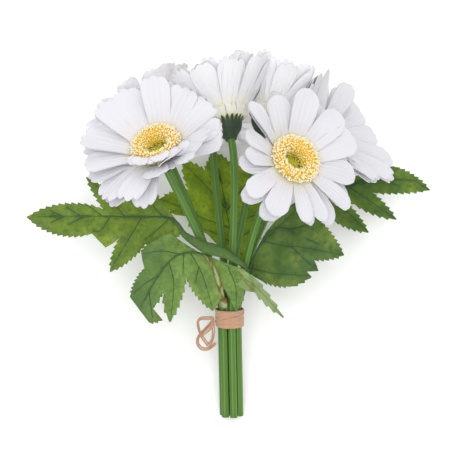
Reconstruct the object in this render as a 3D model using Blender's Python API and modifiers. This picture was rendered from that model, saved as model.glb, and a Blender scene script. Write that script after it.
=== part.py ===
"""Tied bunch of seven white daisies with lobed leaves, laid on its back.

Lengths are in millimetres and become metres when a mesh is made. Until the last step the bunch is
described upright, seen from the front: across to the right, up along the stems, near towards the
viewer. It is then tipped back by LEAN, so that it lies on its hindmost petals and its stem ends.
"""

import math
import random

import bmesh
import bpy
from mathutils import Vector
from mathutils.geometry import delaunay_2d_cdt

MM = 0.001
SLIVER = 0.001
SHARP_EDGE = 40

# Lay of the bunch on the surface
LEAN = math.radians(14)
FLOOR_DROP = 56.6
PRESSED_FLAT = 0.45
VIEW_DISTANCE = 1500
ORIGIN_ACROSS = 4.15
ORIGIN_ALONG = -5.5

# Bundle of stems
STEM_RADIUS = 2.95
STEM_SPACING = 6.3
TIE_PLACE = (3.4, -69, 0)
CUT_PLACE = (5.0, -142.5, -14)
FAN_START = 9
FAN_STEPS = 8
LOWER_BEND = 0.36
UPPER_BEND = 0.22
CALYX_PROFILE = ((0, 1.0), (2.5, 1.25), (6, 2.2), (10, 2.95), (14.6, 3.25))
CALYX_LENGTH = 14.6

# Blooms
GAP = 0.3
CORE_BASE_RADIUS = 8.0
CORE_RADIUS = 18.0
CORE_DEPTH = 9.0
CORE_SIDES = 16
DISC_RADIUS = 17.2
DISC_HEIGHT = 7.5
DISC_HOLE_RADIUS = 7.0
DISC_COLUMNS = 18
DISC_RELIEF = 1.5
EYE_RADIUS = 6.7
EYE_HEIGHT = 4.4
EYE_COLUMNS = 10
EYE_RELIEF = 0.8
PETAL_THICKNESS = 1.4
PETAL_WIDTH = 12.4
PETAL_ROOT_SHARE = 0.38
PETAL_WIDEST_AT = 0.72
PETAL_HOLLOW = 0.08
PETAL_SECTIONS = ((0, 1), (0.36, 1), (0.76, 1), (0.95, 0.74))
PETAL_LAYERS = (
    # count, root radius, root height, droop against the layer above, length
    (13, 15.8, -2.3, 0, 36),
    (12, 13.0, -4.6, 9, 39),
)
DRAWS = (41, 42, 43, 84, 45, 46, 47)
AZIMUTH_SPREAD = 0.14
SLOPE_SPREAD = 4
ROOT_STEEPER = 9
TIP_EASES = (8, 20)
LENGTH_SPREAD = (0.94, 1.04)
WIDTH_SPREAD = (0.92, 1.05)
SWAY_SPREAD = 0.06
UPPER_LIFT = (1.6, 2.6)
LOWER_LIFT = (0, 0.9)
STEEPEST_ROOT = 48
PRESS_DEPTH = 4.0
PRESS_INTO_FLOOR = 0.15

# Each bloom: centre as seen, facing, stem slot in degrees, size, share of the room between two
# blooms, and how many degrees its petals rise at the right, right back, back and so on round
BLOOMS = (
    ((-51.0, 58.5, 62), (-0.28, 0.66, 0.70), 135, 1.08, 1.35, (15, 26, 34, 28, 16, -3, 12, 34)),
    ((52.1, 48.4, 62), (0.44, 0.44, 0.78), 15, 1.04, 1.35, (2, 22, 30, 20, 12, 2, 2, -6)),
    ((0.0, 85.0, 18), (-0.20, 0.93, -0.30), 75, 1.14, 0.9, (68, 62, 56, 62, 68, 60, 54, 60)),
    ((32.0, 88.0, -20), (0.20, 0.93, -0.22), None, 1.18, 0.9, (68, 62, 56, 62, 68, 60, 56, 60)),
    ((-57.0, 82.0, -18), (-0.34, 0.76, -0.40), 195, 1.0, 1.0, (36, 28, 14, 14, 6, 8, 16, 38)),
    ((76.0, 69.0, -10), (0.60, 0.62, 0.50), -45, 1.22, 0.85, (14, 6, 30, 38, 30, 36, 30, 26)),
    ((-9.0, 83.0, -45), (0.0, 0.84, -0.48), 255, 1.0, 0.95, (22, 10, 6, 12, 26, 30, 34, 30)),
)

# Raffia tie
BAND_INNER_RADIUS = 9.75
BAND_THICKNESS = 1.1
BAND_HEIGHT = 13.0
BAND_WRAPS = 3
BAND_CREASE = 0.55
BAND_STEPS = 20
STRAND_WIDTH = 2.4
STRAND_THICKNESS = 0.7
STRANDS = (
    ((-8.8, -70.2, 4.4), (-12.5, -69.8, 4.8), (-18.2, -69.9, 5), (-20.4, -73.0, 5),
     (-19.0, -79.5, 4.2), (-16.3, -85, 3.2), (-13.0, -89.6, 2.4)),
    ((-8.8, -71.2, 4.2), (-11.8, -74.5, 3.2), (-16.9, -80, 2.4), (-19.8, -84, 2), (-20.3, -88.4, 2),
     (-17.8, -92.2, 2), (-13.6, -93.2, 2), (-9.6, -91.3, 1.6), (-6.9, -88.4, 1.2)),
    ((-8.8, -73.0, 4.4), (-11.2, -77.2, 4.4), (-16.2, -81.6, 3.6), (-18.3, -84.4, 2.6)),
    ((-9.0, -74.0, 2.6), (-8.8, -80.5, 1.6), (-9.8, -87, 1.4), (-13.2, -91.3, 2.6)),
)
KNOT_PLACE = (-9.4, -71.8, 3.4)
KNOT_SIZE = (2.8, 4.6, 3.2)

# Leaves
LEAF_THICKNESS = 0.8
LEAF_FLAT_DISTANCE = 9
TOOTH_HEIGHT = 1.6
TOOTH_LEAN = 0.85
STALK_SIDES_RESOLUTION = 1

# Each margin of a leaf starts at a corner: where it is seen, how near, its teeth up to the next
# corner, below zero if they point back, and how far the margin swells outwards
LEFT_LEAF_EDGE = (
    ((-31.5, -3.0, 25), 0, 0), ((-42.0, 10.5, 19), -3, 0.5), ((-58.5, 29.2, 8), -4, 2.0),
    ((-75.8, 16.5, 12), 4, 1.0), ((-104.2, 36.0, 2), -4, 0.5), ((-90.8, 11.6, 12), 8, 6.5),
    ((-148.9, 6.0, 5), -8, 6.5), ((-99.8, -6.4, 14), 0, 0), ((-89.6, -16.9, 18), 0, 0.5),
    ((-78.8, -9.8, 18), 4, 1.5), ((-86.2, -35.2, 22), -5, 2.0), ((-60.0, -14.2, 20), 0, 0),
    ((-34.5, -8.8, 24), 0, 0),
)
FRONT_LEAF_EDGE = (
    ((-56.6, -13.5, 30), 0, 0), ((-42.0, -5.5, 28), 0, 0.5), ((-33.8, -11.8, 23), 0, 0),
    ((-19.5, -20.8, 23), 0, 0), ((4.5, -29.8, 24), 0, 0), ((15.0, -33.4, 24.5), 0, 0.5),
    ((14.2, -52.5, 19), 2, 0.3), ((8.2, -65.2, 15), 0, 0), ((3.6, -55.5, 16), 0, 0),
    ((-0.8, -47.2, 20), 0, 0), ((-3.6, -56.0, 19), 0, 0.5), ((-9.0, -64.5, 19), -5, 2.0),
    ((-29.2, -39.0, 27), 4, 1.5), ((-41.2, -73.1, 30), -3, 2.5), ((-45.0, -44.6, 31), 3, 1.0),
    ((-54.0, -62.5, 33), 0, 0), ((-46.8, -71.2, 30), -2, 0.3), ((-57.0, -73.1, 32), 0, 0),
    ((-71.2, -54.2, 34), -5, 1.5), ((-60.4, -32.6, 31), 0, 0.3), ((-63.0, -19.9, 31), -2, 0),
)
FOLDED_LOBE_EDGE = (
    ((6.8, -32.0, 23.0), 0, 0), ((13.5, -33.4, 25.5), 0, 0.4), ((22.5, -40.2, 26), 3, 0.4),
    ((44.2, -69.8, 24), -3, 0.8), ((22.5, -50.6, 24), 0, 0.5), ((12.8, -47.8, 22.5), 0, 0),
    ((8.0, -44.0, 19.5), 0, 0),
)
RIGHT_LEAF_EDGE = (
    ((15.8, -33.8, 4), 0, 0.5), ((30.8, -5.2, 8), 0, 0.3), ((44.2, 9.8, 10), 0, 1.0),
    ((57.0, 19.5, 8), 0, 1.5), ((69.8, 4.5, 14), 6, 1.2), ((89.2, -22.5, 20), -4, 1.0),
    ((66.8, -26.2, 18), 0, 0.3), ((70.1, -34.5, 20), 0, 0), ((61.5, -35.0, 18), 0, 0),
    ((64.9, -38.8, 19), -2, 0.5), ((49.5, -46.1, 16), -4, 1.0), ((28.5, -42.4, 10), 0, 0.8),
)
FAR_LEAF_EDGE = (
    ((69.0, 20.0, -26), 0, 0), ((82.0, 30.0, -27), 0, 1.5), ((110.0, 39.5, -30), 2, 1.5),
    ((127.5, 43.5, -30), 5, 2.0), ((153.8, 26.2, -26), -6, 1.0), ((110.2, 24.4, -30), 4, 0.8),
    ((128.6, 4.1, -26), -4, 1.8), ((97.5, 15.4, -29), 0, 0), ((92.0, 15.8, -28), 4, 0.8),
    ((107.7, -5.6, -24), -4, 1.5), ((81.8, 3.4, -26), 0, 0.5), ((67.0, 14.0, -26), 0, 0),
)
BACK_LEAF_EDGE = (
    ((7.5, -28.5, -19), 0, 0), ((-14.0, -6.0, -28), 0, 0), ((-27.5, -1.0, -27), 3, 0.8),
    ((-20.0, 5.5, -31), 0, 0), ((-36.5, 7.5, -28), 2, 0.8), ((-48.8, 19.5, -30), -4, 1.5),
    ((-27.0, 26.5, -38), 3, 1.0), ((-32.0, 47.5, -40), -3, 1.5), ((-15.0, 40.5, -46), 3, 1.0),
    ((-8.0, 54.0, -50), -3, 1.5), ((5.0, 44.0, -48), 3, 1.0), ((26.0, 42.0, -48), -4, 1.5),
    ((22.0, 20.5, -42), 3, 1.0), ((43.5, 7.5, -34), -3, 1.0), ((27.5, 3.0, -35), 2, 0.5),
    ((30.5, -1.5, -31), -3, 0.5), ((14.5, -27.0, -19), 0, 0),
)

# Stalks run from their groove in the tie to the blade and on as its midrib, as seen and near,
# each point with its radius
LEFT_LEAF_STALK = (
    ((12.0, -53.2, 10.5), 1.2), ((16.3, -39.0, 15.5), 1.3), ((14.2, -31.0, 20.0), 1.4),
    ((8.2, -26.2, 23.5), 1.6), ((0.8, -21.8, 26.5), 2.2), ((-9.5, -18.2, 28.5), 2.9),
    ((-16.5, -16.0, 28.5), 2.6), ((-30.0, -7.6, 26), 1.5), ((-41.0, 4.5, 20.5), 1.1),
    ((-75.0, 6.0, 14), 0.9), ((-108.0, 6.6, 9), 0.75), ((-132.0, 6.4, 6.5), 0.6),
)
FRONT_LEAF_STALK = (
    ((0.6, -61.8, 9.6), 1.2), ((-0.8, -59.4, 12.4), 2.8), ((-1.4, -56.2, 14.4), 2.9),
    ((-1.8, -54.8, 15.2), 1.7), ((-4.2, -44.5, 20.4), 1.5), ((-10.5, -28.5, 23.8), 1.2),
    ((-19.5, -21.0, 25), 1.0), ((-33.8, -22.0, 27), 0.9), ((-42.8, -28.5, 29), 0.8),
    ((-53.8, -44.0, 32), 0.7), ((-60.5, -57.0, 33), 0.6),
)
RIGHT_LEAF_STALK = (
    ((14.2, -50.0, 0.5), 1.2), ((17.4, -36.0, 4.0), 1.3), ((26.0, -16.0, 7.6), 1.0),
    ((40.0, -2.0, 11), 0.9), ((60.0, -10.0, 15.5), 0.75), ((80.0, -18.5, 18.5), 0.6),
)
FAR_LEAF_STALK = (
    ((9.0, -52.0, -11.5), 1.2), ((26.0, -26.0, -16.5), 1.3), ((48.0, -2.0, -21), 1.3),
    ((68.5, 15.5, -26), 1.2), ((94.0, 29.0, -29), 1.0), ((116.0, 34.0, -30.2), 0.8),
    ((140.0, 33.0, -28.4), 0.6),
)
BACK_LEAF_STALK = (
    ((-1.0, -52.0, -13.5), 1.2), ((6.5, -38.0, -17.0), 1.2), ((9.0, -27.0, -20), 1.1),
    ((4.0, -4.0, -31), 1.0), ((-1.0, 22.0, -42), 0.8), ((-5.0, 42.0, -48), 0.6),
)
STALK_RADIUS_IN_TIE = 1.0
GROOVE_DISTANCE = 8.4

# Each leaf: name, groove in the tie in degrees, edges of its blades, stalk
LEAVES = (
    ("leaf_left", 45, (LEFT_LEAF_EDGE,), LEFT_LEAF_STALK),
    ("leaf_front", 105, (FRONT_LEAF_EDGE, FOLDED_LOBE_EDGE), FRONT_LEAF_STALK),
    ("leaf_right", -15, (RIGHT_LEAF_EDGE,), RIGHT_LEAF_STALK),
    ("leaf_far_right", -75, (FAR_LEAF_EDGE,), FAR_LEAF_STALK),
    ("leaf_back", -135, (BACK_LEAF_EDGE,), BACK_LEAF_STALK),
)

# Colours
WHITE = (0.93, 0.92, 0.95)
YELLOW = (0.92, 0.66, 0.16)
OLIVE = (0.42, 0.45, 0.10)
STEM_GREEN = (0.13, 0.28, 0.09)
LEAF_GREEN = (0.11, 0.27, 0.04)
BACK_LEAF_GREEN = (0.30, 0.42, 0.03)
RAFFIA_TAN = (0.72, 0.42, 0.25)


def seen(across, up, near):
    """Where a point lies that is seen at (across, up) on the plane of the tie."""
    scale = 1 - near / VIEW_DISTANCE
    return Vector((across * scale, up * scale, near))


FLOOR_NORMAL = Vector((0, math.sin(LEAN), math.cos(LEAN)))


def above_floor(point):
    """Height of a point of the upright bunch over the surface it is laid on."""
    return point.dot(FLOOR_NORMAL) + FLOOR_DROP


def laid_down(point):
    """A point of the upright bunch, in metres, once the bunch lies on its back."""
    along = point.y * math.cos(LEAN) - point.z * math.sin(LEAN)
    height = above_floor(point)
    if height < PRESSED_FLAT:
        height = 0
    return Vector((point.x - ORIGIN_ACROSS, along - ORIGIN_ALONG, height)) * MM


def clear_scene():
    for item in list(bpy.data.objects):
        bpy.data.objects.remove(item)


def material(name, colour, roughness):
    made = bpy.data.materials.new(name)
    made.use_nodes = True
    shader = made.node_tree.nodes["Principled BSDF"]
    shader.inputs["Base Color"].default_value = (*colour, 1)
    shader.inputs["Roughness"].default_value = roughness
    return made


def object_from(name, bm, surface, collection):
    """A mesh object of a bmesh whose points are still those of the upright bunch."""
    for vert in bm.verts:
        vert.co = laid_down(vert.co)
    bmesh.ops.recalc_face_normals(bm, faces=bm.faces)
    if bm.calc_volume(signed=True) < 0:
        bmesh.ops.reverse_faces(bm, faces=bm.faces)
    mesh = bpy.data.meshes.new(name)
    bm.to_mesh(mesh)
    bm.free()
    made = bpy.data.objects.new(name, mesh)
    made.data.materials.append(surface)
    collection.objects.link(made)
    return made


def loft(bm, sections, tip=None):
    """Closes a skin over sections of equally many points, with a cap at each end or a tip."""
    rings = [[bm.verts.new(point) for point in section] for section in sections]
    count = len(rings[0])
    for low, high in zip(rings, rings[1:]):
        for i in range(count):
            j = (i + 1) % count
            bm.faces.new((low[i], low[j], high[j], high[i]))
    bm.faces.new(rings[0][::-1])
    if tip is None:
        bm.faces.new(rings[-1])
        return
    end = bm.verts.new(tip)
    for i in range(count):
        bm.faces.new((rings[-1][i], rings[-1][(i + 1) % count], end))


def smooth_path(points, steps):
    """Points along a Catmull-Rom curve through the given ones."""
    ends = [2 * points[0] - points[1], *points, 2 * points[-1] - points[-2]]
    path = []
    for a, b, c, d in zip(ends, ends[1:], ends[2:], ends[3:]):
        for k in range(steps):
            t = k / steps
            path.append(0.5 * (2 * b + (c - a) * t + (2 * a - 5 * b + 4 * c - d) * t * t
                               + (3 * b - a - 3 * c + d) * t ** 3))
    path.append(points[-1])
    return path


def tube(name, path, radii, surface, collection, resolution=2):
    """A round tube as a curve, with a radius for each point of its path."""
    curve = bpy.data.curves.new(name, "CURVE")
    curve.dimensions = "3D"
    curve.bevel_depth = MM
    curve.bevel_resolution = resolution
    curve.use_fill_caps = True
    spline = curve.splines.new("POLY")
    spline.points.add(len(path) - 1)
    for slot, point, radius in zip(spline.points, path, radii):
        slot.co = (*laid_down(point), 1)
        slot.radius = radius
    curve.materials.append(surface)
    made = bpy.data.objects.new(name, curve)
    collection.objects.link(made)
    return made


def as_mesh(made, collection):
    """Turns a curve into a closed mesh object of the same name."""
    graph = bpy.context.evaluated_depsgraph_get()
    mesh = bpy.data.meshes.new_from_object(made.evaluated_get(graph))
    bm = bmesh.new()
    bm.from_mesh(mesh)
    bmesh.ops.remove_doubles(bm, verts=bm.verts, dist=0.01 * MM)
    bm.to_mesh(mesh)
    bm.free()
    name = made.name
    place = made.matrix_world.copy()
    bpy.data.objects.remove(made)
    solid = bpy.data.objects.new(name, mesh)
    solid.matrix_world = place
    collection.objects.link(solid)
    return solid


def keep_main_body(mesh):
    """Fills the hollows that fusing sealed and drops loose scraps, by keeping the outermost skin."""
    bm = bmesh.new()
    bm.from_mesh(mesh)
    bmesh.ops.remove_doubles(bm, verts=bm.verts, dist=SLIVER * MM)
    bmesh.ops.dissolve_degenerate(bm, edges=bm.edges, dist=SLIVER * MM)
    left = set(bm.faces)
    bodies = []
    while left:
        body = {left.pop()}
        edge = list(body)
        while edge:
            near = {other for rim in edge.pop().edges
                    for other in rim.link_faces} & left
            left -= near
            body |= near
            edge += near
        bodies.append(body)
    main = max(bodies, key=lambda body: sum(face.calc_area() for face in body))
    bmesh.ops.delete(bm, geom=[face for face in bm.faces if face not in main], context="FACES")
    bm.to_mesh(mesh)
    bm.free()


def fuse(base, repeats):
    """Unites a collection's objects with the base, then removes them."""
    union = base.modifiers.new("union", "BOOLEAN")
    union.operation = "UNION"
    union.operand_type = "COLLECTION"
    union.collection = repeats
    union.solver = "MANIFOLD"
    graph = bpy.context.evaluated_depsgraph_get()
    mesh = bpy.data.meshes.new_from_object(base.evaluated_get(graph))
    base.modifiers.remove(union)
    keep_main_body(mesh)
    base.data = mesh
    for item in list(repeats.objects):
        bpy.data.objects.remove(item)
    bpy.data.collections.remove(repeats)


def shade_round(made):
    made.data.shade_smooth()
    made.data.set_sharp_from_angle(angle=math.radians(SHARP_EDGE))
    return made


# Bundle frame
BUNDLE_AXIS = (seen(*TIE_PLACE) - seen(*CUT_PLACE)).normalized()
BUNDLE_ACROSS = (Vector((1, 0, 0)) - BUNDLE_AXIS * BUNDLE_AXIS.x).normalized()
BUNDLE_NEAR = BUNDLE_ACROSS.cross(BUNDLE_AXIS)


def in_bundle(angle, distance, height):
    """A point round the bundle's axis, at a height over the middle of the tie."""
    turn = math.radians(angle)
    side = BUNDLE_ACROSS * math.cos(turn) + BUNDLE_NEAR * math.sin(turn)
    return seen(*TIE_PLACE) + side * distance + BUNDLE_AXIS * height


class Bloom:
    """Frame of one flower head: its centre, its facing and the room it may fill."""

    def __init__(self, number, centre, facing, slot, size, share, rises):
        self.number = number
        self.centre = seen(*centre)
        self.axis = Vector(facing).normalized()
        self.right = (Vector((1, 0, 0)) - self.axis * self.axis.x).normalized()
        self.back = self.axis.cross(self.right)
        self.slot = slot
        self.size = size
        self.share = share
        self.rises = rises
        self.walls = []

    def at(self, radius, azimuth, height):
        side = self.right * math.cos(azimuth) + self.back * math.sin(azimuth)
        return self.centre + side * radius + self.axis * height

    def rise(self, azimuth):
        """How steeply a petal stands at an azimuth, in degrees, eased between the eight given."""
        place = azimuth / math.tau * len(self.rises)
        low = math.floor(place)
        part = (1 - math.cos((place - low) * math.pi)) / 2
        before = self.rises[low % len(self.rises)]
        after = self.rises[(low + 1) % len(self.rises)]
        return before + (after - before) * part

    def make_room(self, others):
        """Sets a flat wall between this bloom and every other."""
        for other in others:
            if other is not self:
                apart = other.centre - self.centre
                share = self.share / (self.share + other.share)
                self.walls.append((self.centre + apart * share, -apart.normalized()))

    def pressed(self, point, lift, half_thickness):
        """The point, eased back from the floor and from each wall that it comes too close to."""
        off_wall = GAP / 2 + 0.05 + lift + half_thickness
        off_floor = half_thickness - PRESS_INTO_FLOOR
        limits = [(place, inward, off_wall) for place, inward in self.walls]
        limits.append((FLOOR_NORMAL * -FLOOR_DROP, FLOOR_NORMAL, off_floor))
        for place, inward, margin in limits:
            inside = (point - place).dot(inward) - margin
            if inside < PRESS_DEPTH:
                eased = PRESS_DEPTH * math.exp((inside - PRESS_DEPTH) / PRESS_DEPTH)
                point = point + inward * (eased - inside)
        for place, inward, margin in limits * 2:
            point = point + inward * max(margin - (point - place).dot(inward), 0)
        return point


def petal_width(s):
    """Share of the full width at a fraction s of the petal's length."""
    opening = math.sin(min(s / PETAL_WIDEST_AT, 1) * math.pi / 2) ** 1.3
    return PETAL_ROOT_SHARE + (1 - PETAL_ROOT_SHARE) * opening


def petal_line(bloom, petal, s, side, lift, half_thickness):
    """A point on the petal at fraction s of its length, side from -1 to 1 across it."""
    azimuth, root_radius, root_height, low, high, length, width, sway = petal
    steps = 6
    radius = root_radius
    height = root_height
    for k in range(steps):
        angle = low + (high - low) * (k + 0.5) / steps * s
        radius += math.cos(angle) * length * s / steps
        height += math.sin(angle) * length * s / steps
    turned = azimuth + sway * s * s
    tangent = bloom.right * -math.sin(turned) + bloom.back * math.cos(turned)
    half = width / 2 * petal_width(s)
    hollow = PETAL_HOLLOW * half * side * side
    point = bloom.at(radius, turned, height + hollow) + tangent * (half * side)
    return bloom.pressed(point, lift, half_thickness)


def petals_of(bloom):
    """Both layers of petals, each petal as azimuth, root, slopes, length, width and sway."""
    draw = random.Random(DRAWS[bloom.number - 1])
    petals = []
    for layer, (count, radius, height, droop, length) in enumerate(PETAL_LAYERS):
        for i in range(count):
            place = i + 0.5 * layer + draw.uniform(-AZIMUTH_SPREAD, AZIMUTH_SPREAD)
            azimuth = math.tau * place / count
            slope = bloom.rise(azimuth) - droop + draw.uniform(-SLOPE_SPREAD, SLOPE_SPREAD)
            low = math.radians(min(slope + ROOT_STEEPER, STEEPEST_ROOT))
            high = math.radians(slope - draw.uniform(*TIP_EASES))
            petals.append((azimuth, radius, height, low, high,
                           length * bloom.size * draw.uniform(*LENGTH_SPREAD),
                           PETAL_WIDTH * draw.uniform(*WIDTH_SPREAD),
                           draw.uniform(-SWAY_SPREAD, SWAY_SPREAD)))
    return petals, draw


def petal_mesh(bloom, petal, lift):
    """A petal as a skin over four thin sections and a tip."""
    half = PETAL_THICKNESS / 2
    bm = bmesh.new()
    sections = []
    for s, narrowing in PETAL_SECTIONS:
        middle = petal_line(bloom, petal, s, 0, lift, half)
        left = petal_line(bloom, petal, s, -narrowing, lift, 0)
        right = petal_line(bloom, petal, s, narrowing, lift, 0)
        ahead = petal_line(bloom, petal, s + 0.05, 0, lift, half) - middle
        normal = ahead.cross(right - left).normalized() * half
        sections.append((left, middle + normal, right, middle - normal))
    loft(bm, sections, petal_line(bloom, petal, 1, 0, lift, half))
    return bm


def turned(bloom, profile, steps, shape=None):
    """A profile of (radius, height) turned round a bloom's axis, its rings shaped by a rule."""
    bm = bmesh.new()
    rings = []
    for row, (radius, height) in enumerate(profile):
        ring = []
        for i in range(steps):
            azimuth = math.tau * i / steps
            out, rise = shape(row, i, radius, height) if shape else (radius, height)
            ring.append(bm.verts.new(bloom.at(out, azimuth, rise)))
        rings.append(ring)
    return bm, rings


def skin_rings(bm, rings, close_round):
    pairs = list(zip(rings, rings[1:]))
    if close_round:
        pairs.append((rings[-1], rings[0]))
    for low, high in pairs:
        for i in range(len(low)):
            j = (i + 1) % len(low)
            bm.faces.new((low[i], low[j], high[j], high[i]))


def make_petals(bloom, white, collection):
    """The white head of one bloom: a flared core with two layers of petals round it."""
    name = f"petals_{bloom.number}"
    profile = ((CORE_BASE_RADIUS, -CORE_DEPTH), (CORE_RADIUS, -2.2), (CORE_RADIUS - 0.6, -GAP))
    bm, rings = turned(bloom, profile, CORE_SIDES)
    skin_rings(bm, rings, False)
    bm.faces.new(rings[0])
    bm.faces.new(rings[-1])
    core = object_from(name, bm, white, collection)
    repeats = bpy.data.collections.new(f"{name}_repeats")
    bpy.context.scene.collection.children.link(repeats)
    petals, draw = petals_of(bloom)
    for i, petal in enumerate(petals):
        upper = i < PETAL_LAYERS[0][0]
        bm = petal_mesh(bloom, petal, draw.uniform(*(UPPER_LIFT if upper else LOWER_LIFT)))
        object_from(f"{name}_{i}", bm, white, repeats)
    fuse(core, repeats)
    return core


def make_disc(bloom, yellow, collection):
    """The ring of florets in the middle of a bloom, as a field of small peaks."""
    profile = ((DISC_HOLE_RADIUS, 0), (DISC_RADIUS - 2.6, 0), (DISC_RADIUS, 2.6),
               (DISC_RADIUS - 1.0, 5.4), (DISC_RADIUS - 3.6, DISC_HEIGHT),
               (DISC_RADIUS - 6.6, DISC_HEIGHT), (DISC_HOLE_RADIUS + 1.0, 5.6))
    first_floret_row = 2

    def florets(row, i, radius, height):
        if row < first_floret_row:
            return radius, height
        peak = DISC_RELIEF if (row + i) % 2 else 0
        outward = 0.5 if row <= 3 else 0
        return radius - (0 if peak else outward), height + peak - DISC_RELIEF / 2

    bm, rings = turned(bloom, profile, DISC_COLUMNS, florets)
    skin_rings(bm, rings, True)
    return shade_round(object_from(f"disc_{bloom.number}", bm, yellow, collection))


def make_eye(bloom, olive, collection):
    """The close green florets in the hollow of the ring."""
    profile = ((EYE_RADIUS - 0.7, 0), (EYE_RADIUS - GAP, 1.6), (EYE_RADIUS - 2.2, EYE_HEIGHT - 0.6),
               (EYE_RADIUS - 4.6, EYE_HEIGHT))

    def florets(row, i, radius, height):
        return radius, height + (EYE_RELIEF if row and (row + i) % 2 else 0)

    bm, rings = turned(bloom, profile, EYE_COLUMNS, florets)
    skin_rings(bm, rings, False)
    bm.faces.new(rings[0])
    cap = bm.faces.new(rings[-1])
    bmesh.ops.poke(bm, faces=[cap])
    return shade_round(object_from(f"eye_{bloom.number}", bm, olive, collection))


def stem_path(bloom):
    """Centre line of a stem from its cut end through the tie to the bloom, and its radii."""
    slot = (0, 0) if bloom.slot is None else (bloom.slot, STEM_SPACING)
    cut = in_bundle(*slot, -(seen(*TIE_PLACE) - seen(*CUT_PLACE)).length)
    start = in_bundle(*slot, FAN_START)
    end = bloom.centre - bloom.axis * (CORE_DEPTH + GAP + CALYX_LENGTH)
    reach = (end - start).length
    heading = (BUNDLE_AXIS + (end - start).normalized()).normalized()
    handle = start + heading * (LOWER_BEND * reach)
    last_handle = end - bloom.axis * (UPPER_BEND * reach)
    path = [cut, cut.lerp(start, 0.5)]
    radii = [STEM_RADIUS, STEM_RADIUS]
    for k in range(FAN_STEPS):
        t = k / FAN_STEPS
        path.append(start * (1 - t) ** 3 + handle * 3 * t * (1 - t) ** 2
                    + last_handle * 3 * t * t * (1 - t) + end * t ** 3)
        radii.append(STEM_RADIUS)
    for height, widening in CALYX_PROFILE:
        path.append(end + bloom.axis * height)
        radii.append(STEM_RADIUS * widening)
    return path, radii


def make_stem(bloom, green, collection):
    path, radii = stem_path(bloom)
    return tube(f"stem_{bloom.number}", path, radii, green, collection)


def margin(start, end, teeth, swell, outward):
    """Points of a leaf's margin between two corners, the last left out, with saw teeth."""
    points = [start]
    count = abs(teeth)
    if not count:
        if swell:
            points.append((start + end) / 2 + outward * swell)
        return points
    lean = TOOTH_LEAN if teeth > 0 else 1 - TOOTH_LEAN
    for k in range(count):
        for share, height in ((lean, TOOTH_HEIGHT), (1, 0)):
            t = (k + share) / count
            if t < 1:
                points.append(start.lerp(end, t) + outward * (4 * t * (1 - t) * swell + height))
    return points


def blade_outline(edge):
    """The toothed outline of a blade as seen, from its corners."""
    corners = [Vector((across, up)) for (across, up, _), _, _ in edge]
    after = corners[1:] + corners[:1]
    turn = sum(a.x * b.y - a.y * b.x for a, b in zip(corners, after))
    side = 1 if turn < 0 else -1
    outline = []
    for (start, end), (_, teeth, swell) in zip(zip(corners, after), edge):
        along = (end - start).normalized()
        outline += margin(start, end, teeth, swell, Vector((-along.y, along.x)) * side)
    return outline


def nearness(point, guides):
    """How near the blade is at a seen point, eased between its corners and its midrib."""
    total = 0
    weights = 0
    for across, up, near in guides:
        weight = 1 / ((point.x - across) ** 2 + (point.y - up) ** 2 + LEAF_FLAT_DISTANCE) ** 1.5
        total += weight * near
        weights += weight
    return total / weights


def blade(name, edge, midrib, green, collection):
    """A thin toothed blade, bent through its corners and its midrib."""
    guides = [corner for corner, _, _ in edge] + list(midrib)
    outline = blade_outline(edge)
    count = len(outline)
    seen_points = outline + [Vector((across, up)) for across, up, _ in midrib]
    rim = [(i, (i + 1) % count) for i in range(count)]
    points, _, faces, *_ = delaunay_2d_cdt(seen_points, rim, [], 1, 1e-4)
    bm = bmesh.new()
    verts = [bm.verts.new(seen(p.x, p.y, nearness(p, guides))) for p in points]
    for face in faces:
        bm.faces.new([verts[i] for i in face])
    for vert in [v for v in bm.verts if not v.link_faces]:
        bm.verts.remove(vert)
    made = object_from(name, bm, green, collection)
    if sum(face.normal.z * face.area for face in made.data.polygons) < 0:
        made.data.flip_normals()
    solid = made.modifiers.new("thickness", "SOLIDIFY")
    solid.thickness = LEAF_THICKNESS * MM
    solid.offset = 0
    return made


def applied(made):
    """Replaces an object's mesh by what its modifiers make of it."""
    graph = bpy.context.evaluated_depsgraph_get()
    mesh = bpy.data.meshes.new_from_object(made.evaluated_get(graph))
    made.modifiers.clear()
    made.data = mesh
    return made


def make_leaf(name, groove, edges, stalk, green, collection):
    """One leaf: a stalk from its groove in the tie, and the blades that it carries."""
    route = [in_bundle(groove, GROOVE_DISTANCE, height) for height in (-5.5, 0, 7.5)]
    radii = [STALK_RADIUS_IN_TIE] * len(route)
    for place, radius in stalk:
        route.append(seen(*place))
        radii.append(radius)
    stem = as_mesh(tube(name, route, radii, green, collection, STALK_SIDES_RESOLUTION), collection)
    repeats = bpy.data.collections.new(f"{name}_blades")
    bpy.context.scene.collection.children.link(repeats)
    for i, edge in enumerate(edges):
        midrib = [place for place, _ in stalk if i == 0 and inside_outline(place, edge)]
        applied(blade(f"{name}_blade_{i}", edge, midrib, green, repeats))
    fuse(stem, repeats)
    return stem


def inside_outline(place, edge):
    """Whether a seen place lies within a blade's corners."""
    across, up, _ = place
    corners = [corner for corner, _, _ in edge]
    inside = False
    for (ax, ay, _), (bx, by, _) in zip(corners, corners[1:] + corners[:1]):
        if (ay > up) != (by > up) and across < ax + (up - ay) / (by - ay) * (bx - ax):
            inside = not inside
    return inside


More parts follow.
